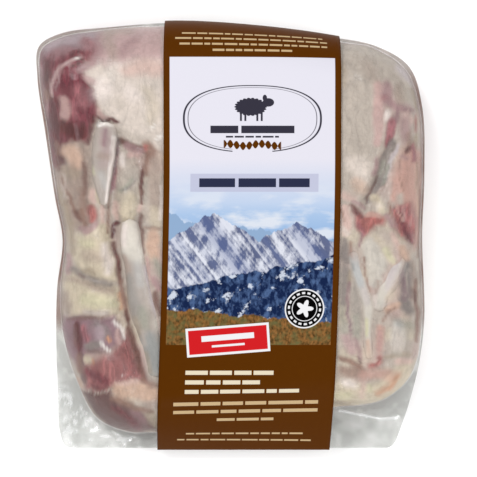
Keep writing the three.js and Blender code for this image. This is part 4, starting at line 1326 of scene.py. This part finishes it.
def sleeve_body():
    """The sleeve's inner and outer faces and cut edges, with print coordinates in millimetres."""
    inner, outer, at = [], [], []
    for across in np.linspace(-SLEEVE_WIDTH / 2, SLEEVE_WIDTH / 2, SLEEVE_COLUMNS + 1):
        section = sleeve_section(across)
        inner.append(moved_out(section, SLEEVE_GAP))
        outer.append(moved_out(section, SLEEVE_RECESS))
        card = outer[-1]
        length = np.concatenate([[0], np.cumsum(np.hypot(*np.diff(card[:, 1:], axis=0).T))])
        half = len(section) // 2
        length -= np.interp(0, card[:half, 1], length[:half])
        at.append(np.column_stack([np.full(len(section), across), length, np.zeros(len(section))]))
    steps = len(inner[0])
    points = np.concatenate(inner + outer)
    outer_at = np.array(at).reshape(-1, 3)
    print_at = np.concatenate([outer_at + (0, 0, 1), outer_at])
    faces = []
    shell = (SLEEVE_COLUMNS + 1) * steps
    for j in range(steps):
        k = (j + 1) % steps
        for i in range(SLEEVE_COLUMNS):
            a, b = i * steps, (i + 1) * steps
            faces.append([shell + a + j, shell + b + j, shell + b + k, shell + a + k])
            faces.append([a + j, a + k, b + k, b + j])
        e = SLEEVE_COLUMNS * steps
        faces.append([j, shell + j, shell + k, k])
        faces.append([e + j, e + k, shell + e + k, shell + e + j])
    return points, faces, print_at


TABLE_LIGHT = 1.6        # how brightly the studio lights a level white card
CARD_SHEEN = 0.008       # light that the card's surface sends back over the print


def ink(red, green, blue):
    """The print colour that looks as given, 0 to 255, under the studio light."""
    light = (linear(red, green, blue) - CARD_SHEEN) / TABLE_LIGHT
    return (*np.clip(light, 0.0005, 0.8).tolist(), 1.0)


BROWN, BLACK_INK = ink(97, 56, 6), ink(24, 22, 24)
CREAM_INK, TAN_INK = ink(238, 226, 200), ink(212, 184, 142)
SLATE_INK, NAVY_INK = ink(62, 60, 72), ink(52, 56, 80)
RED_INK, WHITE_INK = ink(216, 42, 46), ink(246, 246, 248)
BARE_CARD = ink(176, 160, 140)

PANEL = (-37.4, 37.4, -49.5, 81.0)     # the picture panel: left, right, bottom, top

plate, plate_in, plate_out = new_group("sleeve_print", {"Place": "Vector"}, {"Color": "Color"})
split = add_node(plate, "SeparateXYZ", {0: plate_in.outputs["Place"]})
across_at, along_at, inner_at = (Value(plate, split.outputs[i]) for i in range(3))


def noise_value(scale, detail=4.0, along=None, seed=0.0, stretch=1.0, roughness=0.55):
    """Noise over the print, or along one number of it, from about 0 to 1."""
    if along is None:
        inputs = {0: across_at, 1: along_at * stretch, 2: seed}
    else:
        inputs = {0: along, 2: seed}
    place = add_node(plate, "CombineXYZ", inputs).outputs[0]
    return noise_at(plate, place, scale, detail, Roughness=roughness)


def laid(under, *layers):
    """Inks laid one by one over the print so far, each where its mask is 1."""
    for colour, mask in layers:
        under = blend(plate, mask, under, colour)
    return under


def far_off(x, y):
    return (x * x + y * y).calc("SQRT")


def box_mask(left, right, bottom, top, soft=0.15, radius=0.0):
    """A plain or round-cornered rectangle."""
    middle_x, middle_y = (left + right) / 2, (bottom + top) / 2
    reach_x = (across_at - middle_x).size() - ((right - left) / 2 - radius)
    reach_y = (along_at - middle_y).size() - ((top - bottom) / 2 - radius)
    if radius == 0:
        return reach_x.larger(reach_y).below(0.0, soft)
    return far_off(reach_x.larger(0.0), reach_y.larger(0.0)).below(radius, soft)


def word_rows(rows, seed):
    """Rows of plain bars, broken like words, in place of reading matter."""
    total = None
    for number, (left, right, middle, tall, word) in enumerate(rows):
        chance = np.random.default_rng([seed, number])
        breaks = add_node(plate, "ValToRGB", {"Fac": (across_at - left) / (right - left)})
        breaks.color_ramp.interpolation = "CONSTANT"
        stops = breaks.color_ramp.elements
        stops[0].color, stops[1].color = (1, 1, 1, 1), (1, 1, 1, 1)
        at = left + word * chance.uniform(0.5, 1.4)
        while at < right - 0.6 * word:
            for grey, run in ((0, 0.5 + 0.25 * tall), (1, word * chance.uniform(0.5, 1.4))):
                stops.new((at - left) / (right - left)).color = (grey, grey, grey, 1)
                at += run
        row = box_mask(left, right, middle - tall / 2, middle + tall / 2, 0.14)
        row = row * Value(plate, breaks.outputs["Color"])
        total = row if total is None else total.larger(row)
    return total


picture = box_mask(*PANEL, soft=0.2)
uneven = noise_value(0.35, 3, seed=3.0)
print_colour = laid(BROWN, (ink(89, 50, 5), uneven * 0.5))

# Sky: a pale panel that deepens into a clear blue above the hills.
cloud = noise_value(0.05, 5, seed=7.0, stretch=3.0)
cloud = (1.0 - cloud.below(0.56, 0.16)) * along_at.below(18.0, 20.0) * 0.7
view_print = laid(
    ink(236, 234, 245), (ink(186, 210, 240), along_at.below(22.0, 26.0)),
    (ink(126, 170, 222), along_at.below(2.0, 26.0)), (WHITE_INK, cloud))

# Hills, each layer in front of the one before: a far ridge, snowy peaks, dark slopes, a meadow.
far_ridge = noise_value(0.075, 6, along=across_at, seed=11.0) * 22.0 - 10.0 + across_at * -0.1
view_print = laid(view_print, (ink(150, 178, 212), (along_at - far_ridge).below(2.0, 0.5)))

peak_line = ((across_at + 17.0).size() * -0.62).larger((across_at - 20.0).size() * -0.48 - 4.0)
peak_line = peak_line + noise_value(0.2, 7, along=across_at, seed=23.0, roughness=0.62) * 9.0
sheared = across_at + along_at * 0.8
rock = noise_value(0.16, 8, seed=31.0, stretch=0.55, roughness=0.68)
rock_shade = noise_value(0.34, 6, along=sheared, seed=37.0)
valley = noise_value(0.07, 3, along=sheared, seed=33.0).below(0.5, 0.16)
peak_print = laid(
    ink(66, 76, 112), (ink(124, 132, 164), rock_shade),
    (ink(230, 233, 244), (rock * 0.6 + rock_shade * 0.4).below(0.5, 0.1)),
    (ink(84, 104, 158), valley * 0.5))

slope_line = across_at * 0.22 + noise_value(0.11, 7, along=across_at, seed=41.0) * 11.0
wood = noise_value(0.5, 6, seed=43.0, stretch=0.6)
slope_print = laid(
    ink(34, 46, 80), (ink(84, 108, 150), wood.below(0.47, 0.2)),
    (ink(212, 220, 234), noise_value(0.24, 7, seed=47.0).below(0.4, 0.07)))

meadow_line = across_at * -0.1 + noise_value(0.16, 6, along=across_at, seed=53.0) * 7.0
tufts = noise_value(0.8, 6, seed=59.0, stretch=0.7)
meadow_print = laid(
    ink(84, 66, 40), (ink(158, 112, 66), tufts.below(0.5, 0.3)),
    (ink(112, 108, 70), noise_value(0.25, 5, seed=61.0).below(0.44, 0.2)))

view_print = laid(
    view_print, (peak_print, (along_at - peak_line).below(6.0, 0.4)),
    (slope_print, (along_at - slope_line).below(-22.0, 0.5)),
    (meadow_print, (along_at - meadow_line).below(-40.0, 0.7)))
print_colour = laid(print_colour, (view_print, picture))

# Cartouche: two nested lozenge rules round a small lamb, a row of bars and a sprig.
lozenge = ((across_at.size() / 31.0).calc("POWER", 2.4)
           + ((along_at - 53.0).size() / 15.0).calc("POWER", 2.4))
rim = (lozenge - 1.0).size().below(0.035, 0.02).larger((lozenge - 0.86).size().below(0.012, 0.02))
rim = rim * (1.0 - (across_at.size().below(9.0, 0.3) * (along_at.below(53.0, 0.2))))


def round_mask(x, y, reach_x, reach_y, curl=0.0):
    """An oval, with a curly edge if asked."""
    out_x, out_y = (across_at - x) / reach_x, (along_at - y) / reach_y
    far = far_off(out_x, out_y)
    if curl:
        far = far - (out_y.calc("ARCTAN2", out_x) * 11.0).calc("COSINE").size() * curl
    return far.below(1.0, 0.05)


lamb = round_mask(-0.8, 58.4, 6.6, 3.7, 0.12).larger(round_mask(7.2, 60.4, 2.6, 1.9))
lamb = lamb.larger(round_mask(5.6, 62.4, 1.0, 1.5))
for leg_x in (-5.2, -3.2, 2.2, 4.2):
    lamb = lamb.larger(box_mask(leg_x - 0.45, leg_x + 0.45, 52.0, 58.0))
bars = word_rows([(-19, 19, 48.2, 3.4, 13.0), (-12, 12, 44.9, 0.8, 4.0)], 1)
stem = (along_at - 41.2 - (across_at * 0.42).calc("SINE") * 0.5).size()
leaf = stem.below((across_at * 1.1).calc("SINE").size() * 1.7 + 0.15, 0.2)
print_colour = laid(print_colour, (SLATE_INK, rim), (SLATE_INK, lamb), (SLATE_INK, bars),
                    (BROWN, leaf * across_at.size().below(13.0, 0.4)))

# Title bar: a grey-lilac strip with one row of bars.
print_colour = laid(print_colour, (ink(196, 198, 222), box_mask(-28, 30, 20.0, 28.2) * 0.8),
                    (NAVY_INK, word_rows([(-24, 26, 24.1, 4.0, 22.0)], 2)))

# Round seal on the right, with rings, ticks and a star.
seal_x, seal_y = across_at - 25.0, along_at + 33.0
seal, bearing = far_off(seal_x, seal_y), seal_y.calc("ARCTAN2", seal_x)
ticks = (bearing * 18.0).calc("SINE").below(0.2, 0.5)
petals = (bearing * 5.0).calc("COSINE") * 1.1 + 3.0
print_colour = laid(
    print_colour, (WHITE_INK, seal.below(9.0)), (BLACK_INK, seal.below(8.4)),
    (WHITE_INK, (seal - 7.1).size().below(0.45) * ticks),
    (WHITE_INK, (seal - 5.6).size().below(0.16)), (WHITE_INK, (seal - petals).below(0.0, 0.15)))

# Slanted red ticket with a white border, on the left.
tilt, slanted = along_at - across_at * 0.08, (across_at + along_at * 0.1 + 14.0).size()
ticket = (slanted - 19.0).larger((tilt + 46.5).size() - 6.6)
stripe = slanted.below(12.0) * (tilt + 45.2).size().below(1.3)
stripe = stripe.larger(slanted.below(7.5) * (tilt + 48.9).size().below(0.5))
print_colour = laid(print_colour, (WHITE_INK, ticket.below(0.0, 0.15)),
                    (RED_INK, ticket.below(-1.1, 0.15)), (WHITE_INK, stripe))

# Rows of small bars on the brown: notes at the top, sales lines and small print at the bottom.
for row_ink, seed, rows in (
        (TAN_INK, 4, [(-32, 32, 94.4, 1.1, 4.6), (-35, 34, 90.9, 1.1, 5.1),
                      (-33, 34, 87.6, 1.1, 4.3), (-18, 18, 84.4, 1.1, 4.8)]),
        (CREAM_INK, 5, [(-28, 12, -62.2, 1.9, 8.2), (-28, 6, -66.6, 1.9, 7.1),
                        (-28, 24, -71.0, 1.9, 8.8)]),
        (TAN_INK, 6, [(-33, 33, -77.4, 2.0, 11.3), (-33, 33, -82.2, 2.0, 9.4)]),
        (TAN_INK, 7, [(-13, 13, -87.6, 1.8, 7.7)]),
        (TAN_INK, 8, [(-27, 27, -98.0, 1.2, 4.7), (-31, 31, -103.2, 1.2, 5.2)])):
    print_colour = laid(print_colour, (row_ink, word_rows(rows, seed)))

# The inside of the card is bare.
print_colour = laid(print_colour, (BARE_CARD, 1.0 - inner_at.below(0.5, 0.02)))
feed(plate, plate_out, {"Color": print_colour})


def printed_card():
    """Coated card with a satin print: fine board texture and slight waves in the gloss."""
    material, tree, shader = new_material("printed_card")
    place = mark_on_mesh(tree, "print_at", "Vector")
    inks = add_node(tree, "Group", {"Place": place}, node_tree=plate)
    wave, board = noise_at(tree, place, 0.05, 3), noise_at(tree, place, 2.2, 4)
    gloss = add_node(tree, "MapRange", {"Value": board, "To Min": 0.34, "To Max": 0.5})
    feed(tree, shader, {
        "Base Color": inks.outputs["Color"], "Roughness": gloss.outputs["Result"],
        "Normal": relief_normal(tree, board.calc("MULTIPLY_ADD", 0.05, wave), 0.25, 0.0008),
        "Specular IOR Level": 0.015})
    return material


sleeve_points, sleeve_faces, sleeve_print_at = sleeve_body()
sleeve = add_piece("printed_sleeve", sleeve_points, sleeve_faces, printed_card(),
                   "label_band")
print_layer = sleeve.data.attributes.new("print_at", "FLOAT_VECTOR", "POINT")
print_layer.data.foreach_set("vector", sleeve_print_at.astype(np.float32).ravel())


# ---- the table, the light and the view --------------------------------------------------------
# A plain white table under even studio light, seen from straight above.

REACH = 4.0              # metres from the middle to the table's edges
LOW = 0.0003             # the table lies just below z = 0

corners = [(x * REACH, y * REACH, 0) for x, y in ((-1, -1), (1, -1), (1, 1), (-1, 1))]
table_mesh = bpy.data.meshes.new("table")
table_mesh.from_pydata(corners, [], [[0, 1, 2, 3]])
table = bpy.data.objects.new("table", table_mesh)
bpy.context.scene.collection.objects.link(table)
table.location.z = -LOW
white, white_tree, white_shader = new_material("white_table")
feed(white_tree, white_shader, {"Base Color": (0.93, 0.93, 0.93, 1), "Roughness": 0.9})
table.data.materials.append(white)

world = bpy.data.worlds.new("studio")
world.use_nodes = True
feed(world.node_tree, world.node_tree.nodes["Background"],
     {"Color": (1, 1, 1, 1), "Strength": 0.9})
bpy.context.scene.world = world


def softbox(name, place, size, power):
    """A square lamp aimed at the pack."""
    lamp = bpy.data.lights.new(name, "AREA")
    lamp.shape, lamp.size, lamp.energy = "SQUARE", size, power
    holder = bpy.data.objects.new(name, lamp)
    holder.location = place
    aim = Vector((0, 0, 0.02)) - Vector(place)
    holder.rotation_euler = aim.to_track_quat("-Z", "Y").to_euler()
    bpy.context.scene.collection.objects.link(holder)


softbox("key_light", (-0.55, 0.6, 1.0), size=0.45, power=8.0)
softbox("fill_light", (0.75, -0.2, 0.9), size=0.6, power=4.0)
softbox("foot_light", (0.05, -1.1, 0.55), size=0.4, power=4.0)

camera = bpy.data.cameras.new("camera")
camera.sensor_width = 36.0
camera.lens = 176.3
camera.clip_start = 0.01
view = bpy.data.objects.new("camera", camera)
view.location = (0.0037, -0.00115, 1.1)
bpy.context.scene.collection.objects.link(view)
bpy.context.scene.camera = view
bpy.context.scene.view_settings.view_transform = "Standard"
